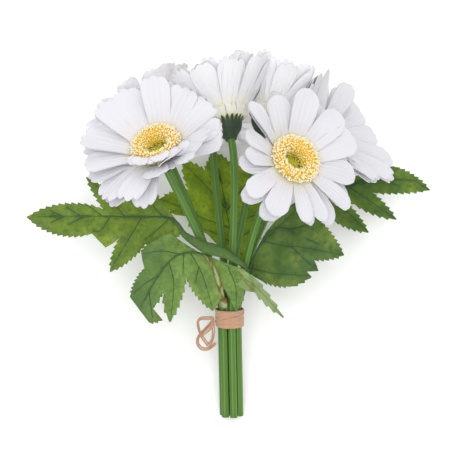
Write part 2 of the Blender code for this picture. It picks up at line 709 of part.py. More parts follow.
def make_band(tan, collection):
    """The wraps of raffia round the bundle, as one ring with a bulge for each wrap."""
    rows = BAND_WRAPS * 2
    profile = []
    for row in range(rows + 1):
        bulge = BAND_THICKNESS * (1 if row % 2 else BAND_CREASE)
        profile.append((BAND_INNER_RADIUS + bulge, BAND_HEIGHT * (row / rows - 0.5)))
    profile.append((BAND_INNER_RADIUS, BAND_HEIGHT / 2))
    profile.append((BAND_INNER_RADIUS, -BAND_HEIGHT / 2))
    bm = bmesh.new()
    rings = []
    for radius, height in profile:
        ring = [in_bundle(360 * i / BAND_STEPS, radius, height) for i in range(BAND_STEPS)]
        rings.append([bm.verts.new(point) for point in ring])
    skin_rings(bm, rings, True)
    return shade_round(object_from("raffia_band", bm, tan, collection))


def strand_mesh(points):
    """A flat strand of raffia along a smooth path, its flat side towards the viewer."""
    path = smooth_path([seen(*point) for point in points], 2)
    bm = bmesh.new()
    sections = []
    for i, point in enumerate(path):
        along = (path[min(i + 1, len(path) - 1)] - path[max(i - 1, 0)]).normalized()
        facing = (Vector((0, 0, 1)) - along * along.z).normalized()
        across = along.cross(facing) * (STRAND_WIDTH / 2)
        lift = facing * (STRAND_THICKNESS / 2)
        sections.append((point + across + lift, point - across + lift,
                         point - across - lift, point + across - lift))
    loft(bm, sections)
    return bm


def make_bow(tan, collection):
    """The loose loops of the tie, which spring from a knot at the band's left."""
    bm = bmesh.new()
    bmesh.ops.create_icosphere(bm, subdivisions=1, radius=1)
    for vert in bm.verts:
        vert.co = seen(*KNOT_PLACE) + Vector(a * b / 2 for a, b in zip(vert.co, KNOT_SIZE))
    knot = object_from("raffia_bow", bm, tan, collection)
    repeats = bpy.data.collections.new("strands")
    bpy.context.scene.collection.children.link(repeats)
    for i, points in enumerate(STRANDS):
        object_from(f"strand_{i}", strand_mesh(points), tan, repeats)
    fuse(knot, repeats)
    return knot


def build():
    clear_scene()
    collection = bpy.data.collections.new("bunch_of_daisies")
    bpy.context.scene.collection.children.link(collection)
    white = material("white_petal", WHITE, 0.7)
    yellow = material("yellow_floret", YELLOW, 0.8)
    olive = material("olive_floret", OLIVE, 0.8)
    green = material("stem_green", STEM_GREEN, 0.45)
    blooms = [Bloom(i + 1, *spec) for i, spec in enumerate(BLOOMS)]
    for bloom in blooms:
        bloom.make_room(blooms)
    for bloom in blooms:
        make_petals(bloom, white, collection)
        make_disc(bloom, yellow, collection)
        make_eye(bloom, olive, collection)
        make_stem(bloom, green, collection)
    leaf_green = material("leaf_green", LEAF_GREEN, 0.5)
    back_green = material("back_leaf_green", BACK_LEAF_GREEN, 0.5)
    for name, groove, edges, stalk in LEAVES:
        make_leaf(name, groove, edges, stalk, back_green if name == "leaf_back" else leaf_green,
                  collection)
    tan = material("raffia_tan", RAFFIA_TAN, 0.7)
    make_band(tan, collection)
    make_bow(tan, collection)


build()
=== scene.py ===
"""Looks of the tied bunch of white daisies, made round its solids.

Lengths are in millimetres of the upright bunch, as in the part's own source: across to the right,
up along the stems, near towards the viewer. laid() tips the bunch on its back and makes metres.
"""

import math
import random

import bpy
import numpy as np
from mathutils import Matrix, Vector
from mathutils.geometry import delaunay_2d_cdt


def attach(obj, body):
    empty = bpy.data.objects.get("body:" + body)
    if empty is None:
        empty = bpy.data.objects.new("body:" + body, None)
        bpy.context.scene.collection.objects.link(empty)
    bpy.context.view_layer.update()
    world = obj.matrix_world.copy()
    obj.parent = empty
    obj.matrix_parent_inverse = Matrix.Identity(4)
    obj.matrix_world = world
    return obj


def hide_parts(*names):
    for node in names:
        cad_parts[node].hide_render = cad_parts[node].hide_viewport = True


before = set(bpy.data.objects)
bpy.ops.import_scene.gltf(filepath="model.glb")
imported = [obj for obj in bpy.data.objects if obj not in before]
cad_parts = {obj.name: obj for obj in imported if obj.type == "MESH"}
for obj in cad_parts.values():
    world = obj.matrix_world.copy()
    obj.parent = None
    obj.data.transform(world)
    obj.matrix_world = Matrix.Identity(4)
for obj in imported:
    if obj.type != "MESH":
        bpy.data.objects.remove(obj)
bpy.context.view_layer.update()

MM = 0.001
GOLDEN_TURN = math.pi * (3 - math.sqrt(5))

# Lay of the bunch, as in the part
LEAN = math.radians(14)
FLOOR_DROP = 56.6
VIEW_DISTANCE = 1500
ORIGIN_ACROSS = 4.15
ORIGIN_ALONG = -5.5

# Stage: width of the picture at the tie, floor, and lamps as name, place in metres, size, power
PHOTO_SPAN = 337.5
SENSOR_WIDTH = 36
CLIP_END = 20
FLOOR_REACH = 4.0
FLOOR_GAP = 0.2
FLOOR_TONE = 0.97
FLOOR_ROUGHNESS = 0.9
WORLD_STRENGTH = 0.86
LAMPS_AIM = (0, 0.02, 0.07)
LAMPS = (
    ("key", (-0.8, 0.6, 1.3), 1.2, 2),
    ("front", (0, -0.3, 1.6), 1, 11),
    ("low", (0.2, -1.4, 0.7), 1, 4),
    ("back", (0.4, 1.5, 0.9), 1.5, 6),
)

# Bundle of stems
STEM_RADIUS = 2.95
STEM_SPACING = 6.3
TIE_PLACE = (3.4, -69, 0)
CUT_PLACE = (5, -142.5, -14)
FAN_START = 9
LOWER_BEND = 0.36
UPPER_BEND = 0.22
STRAIGHT_STEPS = 7
FAN_STEPS = 32
STEM_RIDGES = 6
STEM_RIDGE_DEPTH = 0.1
STEM_SIDES = 30

# Green cup under a bloom: its radii up to its length, and its rows of scales as count, foot, tip, width
CUP_LENGTH = 14.6
CUP_STEPS = 12
CUP_PROFILE = (
    (0, 2.95), (2.5, 3.7), (5, 5.6), (8, 7.9), (11, 9.2), (14.6, 9.7), (17.2, 12.6), (19.6, 15.6),
)
BRACT_ROWS = ((15, 1, 10.5, 4.5), (15, 4, 14.2, 5), (20, 8, 19.6, 4.25))
BRACT_STEPS = 9
BRACT_COLUMNS = (-1, -0.5, 0, 0.5, 1)
BRACT_TIP_WIDTH = 0.05
BRACT_LIFT = 0.3
BRACT_FLARE = 0.25
BRACT_CROWN = 0.25
BRACT_FOOT = 0.25
BRACT_POWER = 0.6
BRACT_TAPER = 4
BRACT_THICKNESS = 0.35

# Blooms
GAP = 0.3
CORE_DEPTH = 9.0
PETAL_THICKNESS = 1.4
PETAL_WIDTH = 12.4
PETAL_LAYERS = (
    # count, root radius, root height, droop against the layer above, length
    (13, 15.8, -2.3, 0, 36),
    (12, 13, -4.6, 9, 39),
)
DRAWS = (41, 42, 43, 84, 45, 46, 47)
AZIMUTH_SPREAD = 0.14
SLOPE_SPREAD = 4
ROOT_STEEPER = 9
TIP_EASES = (8, 20)
LENGTH_SPREAD = (0.94, 1.04)
WIDTH_SPREAD = (0.92, 1.05)
SWAY_SPREAD = 0.06
UPPER_LIFT = (1.6, 2.6)
LOWER_LIFT = (0, 0.9)
STEEPEST_ROOT = 48
WALL_MARGIN = GAP / 2 + 0.05
PRESS_DEPTH = 4.0
PRESS_INTO_FLOOR = 0.15

# Each bloom: centre as seen, facing, stem slot in degrees, size, share of the room between two
# blooms, and how many degrees its petals rise at the right, right back, back and so on round
BLOOMS = (
    ((-51, 58.5, 62), (-0.28, 0.66, 0.70), 135, 1.08, 1.35, (15, 26, 34, 28, 16, -3, 12, 34)),
    ((52.1, 48.4, 62), (0.44, 0.44, 0.78), 15, 1.04, 1.35, (2, 22, 30, 20, 12, 2, 2, -6)),
    ((0, 85, 18), (-0.20, 0.93, -0.30), 75, 1.14, 0.9, (68, 62, 56, 62, 68, 60, 54, 60)),
    ((32, 88, -20), (0.20, 0.93, -0.22), None, 1.18, 0.9, (68, 62, 56, 62, 68, 60, 56, 60)),
    ((-57, 82, -18), (-0.34, 0.76, -0.40), 195, 1, 1, (36, 28, 14, 14, 6, 8, 16, 38)),
    ((76, 69, -10), (0.60, 0.62, 0.50), -45, 1.22, 0.85, (14, 6, 30, 38, 30, 36, 30, 26)),
    ((-9, 83, -45), (0, 0.84, -0.48), 255, 1, 0.95, (22, 10, 6, 12, 26, 30, 34, 30)),
)

# Petals as cloth, in rows from the root and columns from the middle
CLOTH_THICKNESS = 0.5
PETAL_ROWS = 24
CLAW_ROWS = 4
ROW_POWER = 1.2
PETAL_COLUMNS = (0, 0.1, 0.2, 0.29, 0.36, 0.45, 0.56, 0.67, 0.78, 0.9, 1)
BEND_STEPS = 8
CLOTH_WIDTH_SPREAD = (0.86, 1.1)
ROOT_SHARE = 0.6
OPENING_POWER = 1.3
TIP_POWER = 2.6
ROUNDING_SPREAD = (0.8, 1.25)
TEETH_SPREAD = (0.6, 1.3)
TEETH_TURNS = 1.5
TEETH_POWER = 0.7
CREASES = 5.0
CREASE_DEPTH = 0.42
CREASE_POWER = 0.7
RUFFLE_ACROSS = 4.0
RUFFLE_ALONG = 3.0
RUFFLE_IN_MIDDLE = 0.3
TIP_BEND = (-12.6, 18.2)
TIP_BEND_FROM = 0.7
HOLLOW_SPREAD = (0.016, 0.192)
SHINGLE = 0.12
SHINGLE_GROWTH = 3

# Each bloom: petal width against the solid's, where it is widest, roundness and teeth of the tip, ruffle
PETAL_LOOKS = (
    (1.9, 0.86, 0.13, 0.085, 1.1),
    (1.42, 0.78, 0.22, 0.022, 0.8),
    (1.45, 0.84, 0.14, 0.065, 1),
    (1.45, 0.84, 0.14, 0.070, 1),
    (1.45, 0.84, 0.14, 0.070, 1),
    (1.60, 0.82, 0.18, 0.045, 0.9),
    (1.35, 0.84, 0.14, 0.060, 0.9),
)

# How a petal of the lower layer climbs the seat from the cup, as radius and height at shares of the claw
CLAW = ((8.9, -9.2), (12.9, -7), (16.5, -4.6))
CLAW_PLACES = (0, 0.4, 0.8, 1)
CLAW_SHARE = 0.13
CLAW_OVERLAP = 1.15
SEAT_RINGS = (
    (8, -9), (12.6, -6.6), (15.6, -4.8), (16.5, -3.4), (15.2, -2.4), (13.2, -0.6), (7.6, -0.6),
    (6.9, -2.2), (1, -2.2),
)
SEAT_SIDES = 72
SEAT_RIBS = 24
SEAT_TONE = 0.12
CLOTH_DRAW = 200

# What a petal's third mark gains on its underside
UNDERSIDE_STEP = 2

# Where a bloom's petals differ: number, azimuth and spread in degrees, share of length lost,
# degrees steeper, share of width lost
RESIZED = (
    (1, 288, 22, 0.42, 16, 0.1), (1, 322, 14, 0.12, 4, 0), (1, 112, 48, -0.12, 0, 0),
    (1, 165, 20, -0.05, 0, -0.12), (1, 2, 16, 0.10, 0, 0.1), (2, 42, 34, -0.14, 0, -0.16),
    (2, 182, 22, 0.3, 0, 0.1), (2, 150, 16, 0, 0, 0.2), (2, 285, 26, 0.10, 0, 0.25),
    (2, 328, 16, -0.06, 0, 0.15), (2, 92, 16, -0.12, 0, 0), (2, 205, 14, 0, 0, -0.15),
    (2, 85, 36, 0, 0, -0.35), (2, 20, 20, 0, 0, -0.2), (5, 150, 34, 0.14, 0, 0),
    (5, 75, 24, -0.06, 0, 0), (4, 10, 35, 0.12, 0, 0.22), (6, 20, 14, 0.12, 0, 0),
    (6, 55, 20, -0.27, 0, -0.22), (6, 118, 36, 0.02, 0, 0.1), (6, 350, 12, -0.05, 0, 0),
)
RESIZED_POWER = 4

# Small petals that curl over the near rim of the first bloom's ring: azimuth, length, width, rise, curl
CURLED = (
    (228, 14, 9.5, 84, 130), (249, 18, 11, 92, 128), (268, 17, 10, 96, 132), (287, 19, 12, 94, 128),
    (306, 17, 11, 84, 118), (325, 18, 11, 62, 92),
)
CURLED_ROOT = (16.4, 0.6)
CURLED_ROWS = 16
CURLED_COLUMNS = 13
CURLED_ROUNDING = 0.14
CURLED_TIP_POWER = 2.5
CURLED_TEETH = 0.03
CURLED_TEETH_WAVE = 4.7
CURLED_WIDEST = 0.6
CURL_POWER = 1.4
CURLED_WAVE = 0.5
CURLED_WAVES = (3.5, 5, 6)
CURLED_ORBIT = 20

# Florets of the ring: its section as distances in from its rim and heights, from its foot into the hollow
DISC_RADIUS = 17.2
DISC_HOLE_RADIUS = 7.0
DISC_SECTION = (
    (1.6, 0.2), (0.3, 1.4), (-0.3, 3), (1, 5.4), (2.4, 7.2), (4.2, 7.9), (5.8, 7), (7.4, 4.8), (8.8, 2.2),
    (10.4, -0.8),
)
DISC_MIDDLE_HEIGHT = 3.0
DISC_CORE = 0.8
DISC_SIDES = 60
HOLLOW_SHIFT = 5.5
HOLLOW_RIM = 1.5
FLORET_COUNT = 900
FLORET_DRAW = 300
FLORET_RADIUS = 0.58
FLORET_HEIGHT = 2.4
FLORET_SIDES = 5
FLORET_PATH_STEPS = 6
FLORET_PLACES = (0.1, 0.9)
FLORET_SWAY = 0.05
FLORET_JITTER = 0.35
FLORET_UPWARD = 0.25
FLORET_SIZES = (0.8, 1.25)
FLORET_TALLNESS = (0.75, 1.35)
FLORET_LEAN = 0.3
OUTER_SIZE = 1.05
SIZE_LOSS = 0.2
# Rings of a floret: part of a step turned, radius and height against the floret's, mark of height
FLORET_RINGS = (
    (0, 0.42, 0, 0), (0, 0.5, 0.55, 0.55), (0.5, 1, 1, 1), (0, 0.55, 0.86, 0.86), (0, 0.15, 0.6, 0.25),
)

# Buds of the eye, on a dome with rings as distances out from the eye's rim and heights
EYE_RADIUS = 6.7
EYE_RINGS = ((0.7, -1.9), (0.8, -0.9), (-2, -0.6), (-4.4, -1), (-6.1, -1.2))
EYE_SIDES = 32
EYE_DISH = 0.8
EYE_DEPTH = 1.4
BUD_COUNT = 110
BUD_DRAW = 400
BUD_RADIUS = 0.72
BUD_SIDES = 6
BUD_RINGS = ((0, 0.7), (0.5, 1), (1.1, 0.75), (1.5, 0.3))
BUD_TWIST = 0.3
BUD_SIZES = (0.8, 1.15)
BUD_LEAN = 0.35
BUD_OVERHANG = 0.1

# Raffia tie
BAND_INNER_RADIUS = 9.75
BAND_HEIGHT = 13.0
WRAP_TURNS = 4
WRAP_DRAW = 5
WRAP_STEPS = 72
WRAP_WIDTH = 4.2
WRAP_THICKNESS = 0.8
WRAP_ROUNDING = 0.6
WRAP_LIFT = 0.55
WRAP_STAGGER = 0.18
WRAP_SWAY = 0.35
WRAP_WAVE = 0.12
ASLANT_TURN = (200, -20)
ASLANT_HEIGHT = (-4.3, 4.9)
ASLANT_LIFT = 1.15
ASLANT_SIZE = (2.2, 0.5)
ASLANT_STEPS = 30
RIBBON_SIDES = 12
STRAND_WIDTH = 2.4
STRAND_THICKNESS = 0.7
STRAND_ROUNDING = 0.7
STRAND_STEPS = 10
STRAND_ROLL = 0.5
ROLL_WAVE = 3
APART_WAVE = 9
SPLIT_WAVE = 7
SPLIT_APART = (0.27, 0.10)
SPLIT_WIDTH = (0.50, 0.08)
SPLIT_LIFT = 0.12
STRANDS = (
    ((-8.8, -70.2, 4.4), (-12.5, -69.8, 4.8), (-18.2, -69.9, 5), (-20.4, -73, 5),
     (-19, -79.5, 4.2), (-16.3, -85, 3.2), (-13, -89.6, 2.4)),
    ((-8.8, -71.2, 4.2), (-11.8, -74.5, 3.2), (-16.9, -80, 2.4), (-19.8, -84, 2), (-20.3, -88.4, 2),
     (-17.8, -92.2, 2), (-13.6, -93.2, 2), (-9.6, -91.3, 1.6), (-6.9, -88.4, 1.2)),
    ((-8.8, -73, 4.4), (-11.2, -77.2, 4.4), (-16.2, -81.6, 3.6), (-18.3, -84.4, 2.6)),
    ((-9, -74, 2.6), (-8.8, -80.5, 1.6), (-9.8, -87, 1.4), (-13.2, -91.3, 2.6)),
)
KNOT_PLACE = (-9.4, -71.8, 3.4)
KNOT_WIDTHS = (2.8, 3.2)
KNOT_TURNS = 3
KNOT_PITCH = 1.3
KNOT_INSET = 0.3
KNOT_STEPS = 25
KNOT_STRAND = (1.8, 0.6)

# Leaves
LEAF_FLAT_DISTANCE = 9
LEAF_NEARNESS_POWER = 1.5
TOOTH_HEIGHT = 1.6
TOOTH_LEAN = 0.85
TOOTH_GROWTH = 5
LEAST_TOOTH = 0.1
FINER_TEETH = 1.5
BLUNT_TIP = 4.5
TIP_REACH = 2.2
BLADE_THICKNESS = 0.5
BLADE_PITCH = 2.4
BLADE_ROW_SHARE = 0.87
BLADE_JITTER = 0.3
BLADE_CLEARANCE = 0.45
PUCKER = 0.35
PUCKER_WAVES = (0.55, 0.48)
PUCKER_FADE = 4
VEIN_PATH_STEPS = 6
VEIN_STEP = 2.0
VEIN_WIDTH = (1.0, 0.45)
VEIN_GROOVE = 0.7
VEIN_REACH = 2.4
VEIN_SOFTNESS = 1.15
VEIN_SURROUND = 8
UNDERSIDE_INK = 0.6
MIDRIB_SHARE = 0.55
STALK_STEPS = 5
STALK_SIDES = 12
STALK_RIDGES = 5
STALK_RIDGE_DEPTH = 0.08
STALK_RADIUS_IN_TIE = 1.0
STALK_HEIGHTS_IN_TIE = (-5.5, 0, 7.5)
GROOVE_DISTANCE = 8.4
STOUT_STALKS = {"leaf_left": 1.65, "leaf_front": 1.12}
STALK_INK = 0.25
PETIOLE_RISE = 1.6
PETIOLE_END = -12.0
LEAF_DRAW = 7

# What a leaf's third mark says of its parts
UNDERSIDE_MARK = 0.0
UPPER_MARK = 1.0
STALK_MARK = 2.0
PETIOLE_MARK = 3.0

# Each margin of a leaf starts at a corner: where it is seen, how near, its teeth up to the next
# corner, below zero if they point back, and how far the margin swells outwards
LEFT_LEAF_EDGE = (
    ((-31.5, -3, 25), 0, 0), ((-42, 10.5, 19), -3, 0.5), ((-58.5, 29.2, 8), -4, 2),
    ((-75.8, 16.5, 12), 4, 1), ((-104.2, 36, 2), -4, 0.5), ((-90.8, 11.6, 12), 8, 6.5),
    ((-148.9, 6, 5), -8, 6.5), ((-99.8, -6.4, 14), 0, 0), ((-89.6, -16.9, 18), 0, 0.5),
    ((-78.8, -9.8, 18), 4, 1.5), ((-86.2, -35.2, 22), -5, 2), ((-60, -14.2, 20), 0, 0),
    ((-34.5, -8.8, 24), 0, 0),
)
FRONT_LEAF_EDGE = (
    ((-56.6, -13.5, 30), 0, 0), ((-42, -5.5, 28), 0, 0.5), ((-33.8, -11.8, 23), 0, 0),
    ((-19.5, -20.8, 23), 0, 0), ((4.5, -29.8, 24), 0, 0), ((15, -33.4, 24.5), 0, 0.5),
    ((14.2, -52.5, 19), 2, 0.3), ((8.2, -65.2, 15), 0, 0), ((3.6, -55.5, 16), 0, 0),
    ((-0.8, -47.2, 20), 0, 0), ((-3.6, -56, 19), 0, 0.5), ((-9, -64.5, 19), -5, 2),
    ((-29.2, -39, 27), 4, 1.5), ((-41.2, -73.1, 30), -3, 2.5), ((-45, -44.6, 31), 3, 1),
    ((-54, -62.5, 33), 0, 0), ((-46.8, -71.2, 30), -2, 0.3), ((-57, -73.1, 32), 0, 0),
    ((-71.2, -54.2, 34), -5, 1.5), ((-60.4, -32.6, 31), 0, 0.3), ((-63, -19.9, 31), -2, 0),
)
FOLDED_LOBE_EDGE = (
    ((6.8, -32, 23), 0, 0), ((13.5, -33.4, 25.5), 0, 0.4), ((22.5, -40.2, 26), 3, 0.4),
    ((44.2, -69.8, 24), -3, 0.8), ((22.5, -50.6, 24), 0, 0.5), ((12.8, -47.8, 22.5), 0, 0),
    ((8, -44, 19.5), 0, 0),
)
RIGHT_LEAF_EDGE = (
    ((15.8, -33.8, 4), 0, 0.5), ((30.8, -5.2, 8), 0, 0.3), ((44.2, 9.8, 10), 0, 1),
    ((57, 19.5, 8), 0, 1.5), ((69.8, 4.5, 14), 6, 1.2), ((89.2, -22.5, 20), -4, 1),
    ((66.8, -26.2, 18), 0, 0.3), ((70.1, -34.5, 20), 0, 0), ((61.5, -35, 18), 0, 0),
    ((64.9, -38.8, 19), -2, 0.5), ((49.5, -46.1, 16), -4, 1), ((28.5, -42.4, 10), 0, 0.8),
)
FAR_LEAF_EDGE = (
    ((69, 20, -26), 0, 0), ((82, 30, -27), 0, 1.5), ((110, 39.5, -30), 2, 1.5),
    ((127.5, 43.5, -30), 5, 2), ((153.8, 26.2, -26), -6, 1), ((110.2, 24.4, -30), 4, 0.8),
    ((128.6, 4.1, -26), -4, 1.8), ((97.5, 15.4, -29), 0, 0), ((92, 15.8, -28), 4, 0.8),
    ((107.7, -5.6, -24), -4, 1.5), ((81.8, 3.4, -26), 0, 0.5), ((67, 14, -26), 0, 0),
)
BACK_LEAF_EDGE = (
    ((7.5, -28.5, -19), 0, 0), ((-14, -6, -28), 0, 0), ((-27.5, -1, -27), 3, 0.8),
    ((-20, 5.5, -31), 0, 0), ((-36.5, 7.5, -28), 2, 0.8), ((-48.8, 19.5, -30), -4, 1.5),
    ((-27, 26.5, -38), 3, 1), ((-32, 47.5, -40), -3, 1.5), ((-15, 40.5, -46), 3, 1),
    ((-8, 54, -50), -3, 1.5), ((5, 44, -48), 3, 1), ((26, 42, -48), -4, 1.5),
    ((22, 20.5, -42), 3, 1), ((43.5, 7.5, -34), -3, 1), ((27.5, 3, -35), 2, 0.5),
    ((30.5, -1.5, -31), -3, 0.5), ((14.5, -27, -19), 0, 0),
)

# Stalks run from their groove in the tie to the blade and on as its midrib, as seen and near,
# each point with its radius
LEFT_LEAF_STALK = (
    ((12, -53.2, 10.5), 1.2), ((16.3, -39, 15.5), 1.3), ((14.2, -31, 20), 1.4),
    ((8.2, -26.2, 23.5), 1.6), ((0.8, -21.8, 26.5), 2.2), ((-9.5, -18.2, 28.5), 2.9),
    ((-16.5, -16, 28.5), 2.6), ((-30, -7.6, 26), 1.5), ((-41, 4.5, 20.5), 1.1),
    ((-75, 6, 14), 0.9), ((-108, 6.6, 9), 0.75), ((-132, 6.4, 6.5), 0.6),
)
FRONT_LEAF_STALK = (
    ((0.6, -61.8, 9.6), 1.2), ((-0.8, -59.4, 12.4), 2.8), ((-1.4, -56.2, 14.4), 2.9),
    ((-1.8, -54.8, 15.2), 1.7), ((-4.2, -44.5, 20.4), 1.5), ((-10.5, -28.5, 23.8), 1.2),
    ((-19.5, -21, 25), 1), ((-33.8, -22, 27), 0.9), ((-42.8, -28.5, 29), 0.8),
    ((-53.8, -44, 32), 0.7), ((-60.5, -57, 33), 0.6),
)
RIGHT_LEAF_STALK = (
    ((14.2, -50, 0.5), 1.2), ((17.4, -36, 4), 1.3), ((26, -16, 7.6), 1),
    ((40, -2, 11), 0.9), ((60, -10, 15.5), 0.75), ((80, -18.5, 18.5), 0.6),
)
FAR_LEAF_STALK = (
    ((9, -52, -11.5), 1.2), ((26, -26, -16.5), 1.3), ((48, -2, -21), 1.3),
    ((68.5, 15.5, -26), 1.2), ((94, 29, -29), 1), ((116, 34, -30.2), 0.8),
    ((140, 33, -28.4), 0.6),
)
BACK_LEAF_STALK = (
    ((-1, -52, -13.5), 1.2), ((6.5, -38, -17), 1.2), ((9, -27, -20), 1.1),
    ((4, -4, -31), 1), ((-1, 22, -42), 0.8), ((-5, 42, -48), 0.6),
)

# Each leaf: name, groove in the tie in degrees, edges of its blades, stalk
LEAVES = (
    ("leaf_left", 45, (LEFT_LEAF_EDGE,), LEFT_LEAF_STALK),
    ("leaf_front", 105, (FRONT_LEAF_EDGE, FOLDED_LOBE_EDGE), FRONT_LEAF_STALK),
    ("leaf_right", -15, (RIGHT_LEAF_EDGE,), RIGHT_LEAF_STALK),
    ("leaf_far_right", -75, (FAR_LEAF_EDGE,), FAR_LEAF_STALK),
    ("leaf_back", -135, (BACK_LEAF_EDGE,), BACK_LEAF_STALK),
)

# Veins as seen, each from its root on the midrib to its tip
VEINS = {
    "leaf_left": (
        ((-31.5, -7.5), (-41.2, 5.5), (-75, 6.2), (-108, 6.6), (-140, 6.2)),
        ((-46, 5.8), (-54, 15), (-58.5, 26.5)), ((-75.4, 6.4), (-87, 21), (-102, 34)),
        ((-62.2, 6), (-73, -12), (-84.5, -31.5)), ((-92, 6.4), (-101, 13.5), (-109, 16)),
        ((-86, 6.4), (-93, -4), (-99, -5)), ((-108, 6.6), (-118, 13)),
        ((-105, 6.6), (-117, 0.5)), ((-122, 6.6), (-131, 11)), ((-120, 6.6), (-130, 2)),
        ((-41.2, 5.5), (-50, -3), (-60, -11)),
    ),
    "leaf_front": (
        ((-10.5, -27.5), (-19.5, -20.6), (-33.8, -21.8), (-42.8, -28.5), (-53.8, -44),
         (-61.5, -58.5), (-64.5, -66)),
        ((-33.8, -21.8), (-48, -19.5), (-60.5, -21.5)), ((-42, -28), (-38.5, -44), (-40.5, -69.5)),
        ((-26.2, -20.6), (-17.5, -36), (-9.8, -61)), ((-50, -38), (-60, -44), (-68, -50.5)),
        ((-57, -50), (-55.5, -61), (-54.5, -69)), ((2, -31), (8, -46), (8.4, -61.5)),
        ((-20, -32.5), (-22, -42)), ((-31, -22), (-31.5, -36)),
    ),
    "leaf_right": (
        ((17.4, -34), (26, -16), (40, -2), (52, 11), (56.4, 18)),
        ((28.5, -12), (44, -15.5), (60, -17), (87, -22.3)),
        ((18.5, -32), (32, -35.5), (46, -37), (63, -38)),
        ((40, -2), (52, -2.5), (66, 2)), ((50, -16), (60, -26), (67, -32)),
    ),
    "leaf_far_right": (
        ((68.5, 15.5), (94, 28.6), (116, 33.6), (138.8, 34), (150, 28.5)),
        ((94, 28), (110, 17), (126.5, 5.4)), ((78.5, 20.5), (93, 8.5), (106, -3.8)),
        ((90, 26.5), (103, 34.5), (109, 38)), ((116, 33.6), (127, 40.5)),
        ((120, 34), (131, 28.5)),
    ),
    "leaf_back": (
        ((9, -27), (4, -4), (-1, 22), (-5, 42), (-7.5, 51.5)),
        ((3, -2), (-16, 5), (-32, 13), (-47, 19)), ((3.5, -3), (20, 6.5), (41.5, 7.6)),
        ((0.8, 12), (-15, 30), (-30.5, 45.5)), ((1, 10), (12, 26), (24.5, 40.5)),
        ((6, -14), (-10, -5), (-25, -1.5)), ((6, -14), (18, -5), (28, -0.5)),
    ),
}
FOLDED_LOBE_VEINS = (
    ((8, -36), (15, -40.5), (24, -47), (42.5, -67.5)), ((12, -39), (17, -44.5), (21, -49.5)),
)

# Each kind of surface: roughness, sheen and depth of its relief
SURFACES = {
    "petal": (0.75, 0.15, 0.25),
    "floret": (0.8, 0.1, 0.1),
    "bud": (0.7, 0, 0.1),
    "stem": (0.42, 0, 0.25),
    "leaf": (0.62, 0, 0.15),
    "raffia": (0.6, 0.2, 0.35),
}
SPECULAR = 0.25
BUMP_STRENGTH = 0.6
DETAIL = 3
NOISE_ROUGHNESS = 0.55

# Ribs across a petal, and scales of grain and weave
PETAL_RIBS = 34
FLORET_GRAIN = 900
LEAF_WEAVE = 420

# Colours
PETAL_WHITE = (0.635, 0.63, 0.665)
# Undersides painted lighter than tops: painted light for the undersides that face away from the lamps
PETAL_UNDERSIDE_PAINTED_LIGHT = (0.77, 0.765, 0.79)
# Brightness of each bloom's petals, painted light: blooms lying in shade are lifted, brightly lit ones
# lowered
PETAL_PAINTED_LIGHT = (1.0, 0.95, 0.93, 1.17, 1.22, 0.98, 1.24)
PETAL_CREAM = (0.78, 0.73, 0.55)
PETAL_FOOT = (0.55, 0.58, 0.24)
# Lavender grey painted into the rib grooves as their shade
PETAL_GROOVE_SHADE = (0.74, 0.73, 0.80)
FLORET_TIP = (1.0, 0.92, 0.70)
FLORET_SIDE = (0.95, 0.74, 0.17)
# Darker orange at the florets' feet, in their mouths and on the core under them: painted shade of the
# depths
FLORET_DEPTH_SHADE = (0.74, 0.47, 0.035)
BUD_GREEN = (0.66, 0.62, 0.045)
# Dark olive at the buds' feet and on the dome between them: painted shade
BUD_FOOT_SHADE = (0.30, 0.28, 0.015)
BUD_YELLOW = (0.55, 0.52, 0.08)
STEM_GREEN = (0.066, 0.148, 0.024)
# Paler green along the stems' ridge tops: a painted highlight
STEM_RIDGE_HIGHLIGHT = (0.22, 0.35, 0.11)
BRACT_DARK = (0.028, 0.052, 0.028)
BRACT_EDGE = (0.42, 0.46, 0.17)
# Each leaf's green and paler patch colour, partly its own and partly painted light: the back leaf's are
# lifted against the shade it lies in under the heads
LEAF_GROUNDS_AND_PAINTED_LIGHT = {
    "leaf_left": ((0.135, 0.230, 0.024), (0.270, 0.380, 0.044)),
    "leaf_front": ((0.156, 0.275, 0.052), (0.250, 0.366, 0.087)),
    "leaf_right": ((0.066, 0.143, 0.027), (0.225, 0.312, 0.050)),
    "leaf_far_right": ((0.075, 0.155, 0.018), (0.220, 0.320, 0.032)),
    "leaf_back": ((0.210, 0.350, 0.016), (0.450, 0.600, 0.030)),
}
LEAF_SHADE = (0.045, 0.110, 0.040)
DARK_ENDS = {"leaf_left": (-0.105, -0.155, 0.35), "leaf_front": (-0.038, -0.070, 0.70)}
LEAF_UNDERSIDE = (0.29, 0.37, 0.19)
LEAF_VEIN = (0.010, 0.040, 0.022)
UNDERSIDE_VEIN = (0.150, 0.090, 0.022)
PETIOLE_PALE = (0.30, 0.36, 0.15)
PETIOLE_BROWN = (0.17, 0.10, 0.025)
RAFFIA = (0.60, 0.36, 0.235)
# Darker raffia for its streaks, and painted shade along the strands' edges
RAFFIA_STREAK_AND_EDGE_SHADE = (0.34, 0.185, 0.105)


def seen(across, up, near):
    """Where a point lies that is seen at (across, up) on the plane of the tie."""
    scale = 1 - near / VIEW_DISTANCE
    return np.array((across * scale, up * scale, near))


def unit(vector):
    return vector / np.linalg.norm(vector, axis=-1, keepdims=True)


FLOOR_NORMAL = np.array((0, math.sin(LEAN), math.cos(LEAN)))
RIGHT = np.array((1.0, 0, 0))
TOWARD_CAMERA = np.array((0.0, 0, 1))
ASIDE = (0.3, 0.1, 1.0)
NEARLY_FACING = 0.8


def laid(points):
    """Points of the upright bunch, in metres, once the bunch lies on its back."""
    points = np.asarray(points, float)
    along = points[:, 1] * math.cos(LEAN) - points[:, 2] * math.sin(LEAN)
    height = np.maximum(points @ FLOOR_NORMAL + FLOOR_DROP, 0)
    return np.stack((points[:, 0] - ORIGIN_ACROSS, along - ORIGIN_ALONG, height), 1) * MM


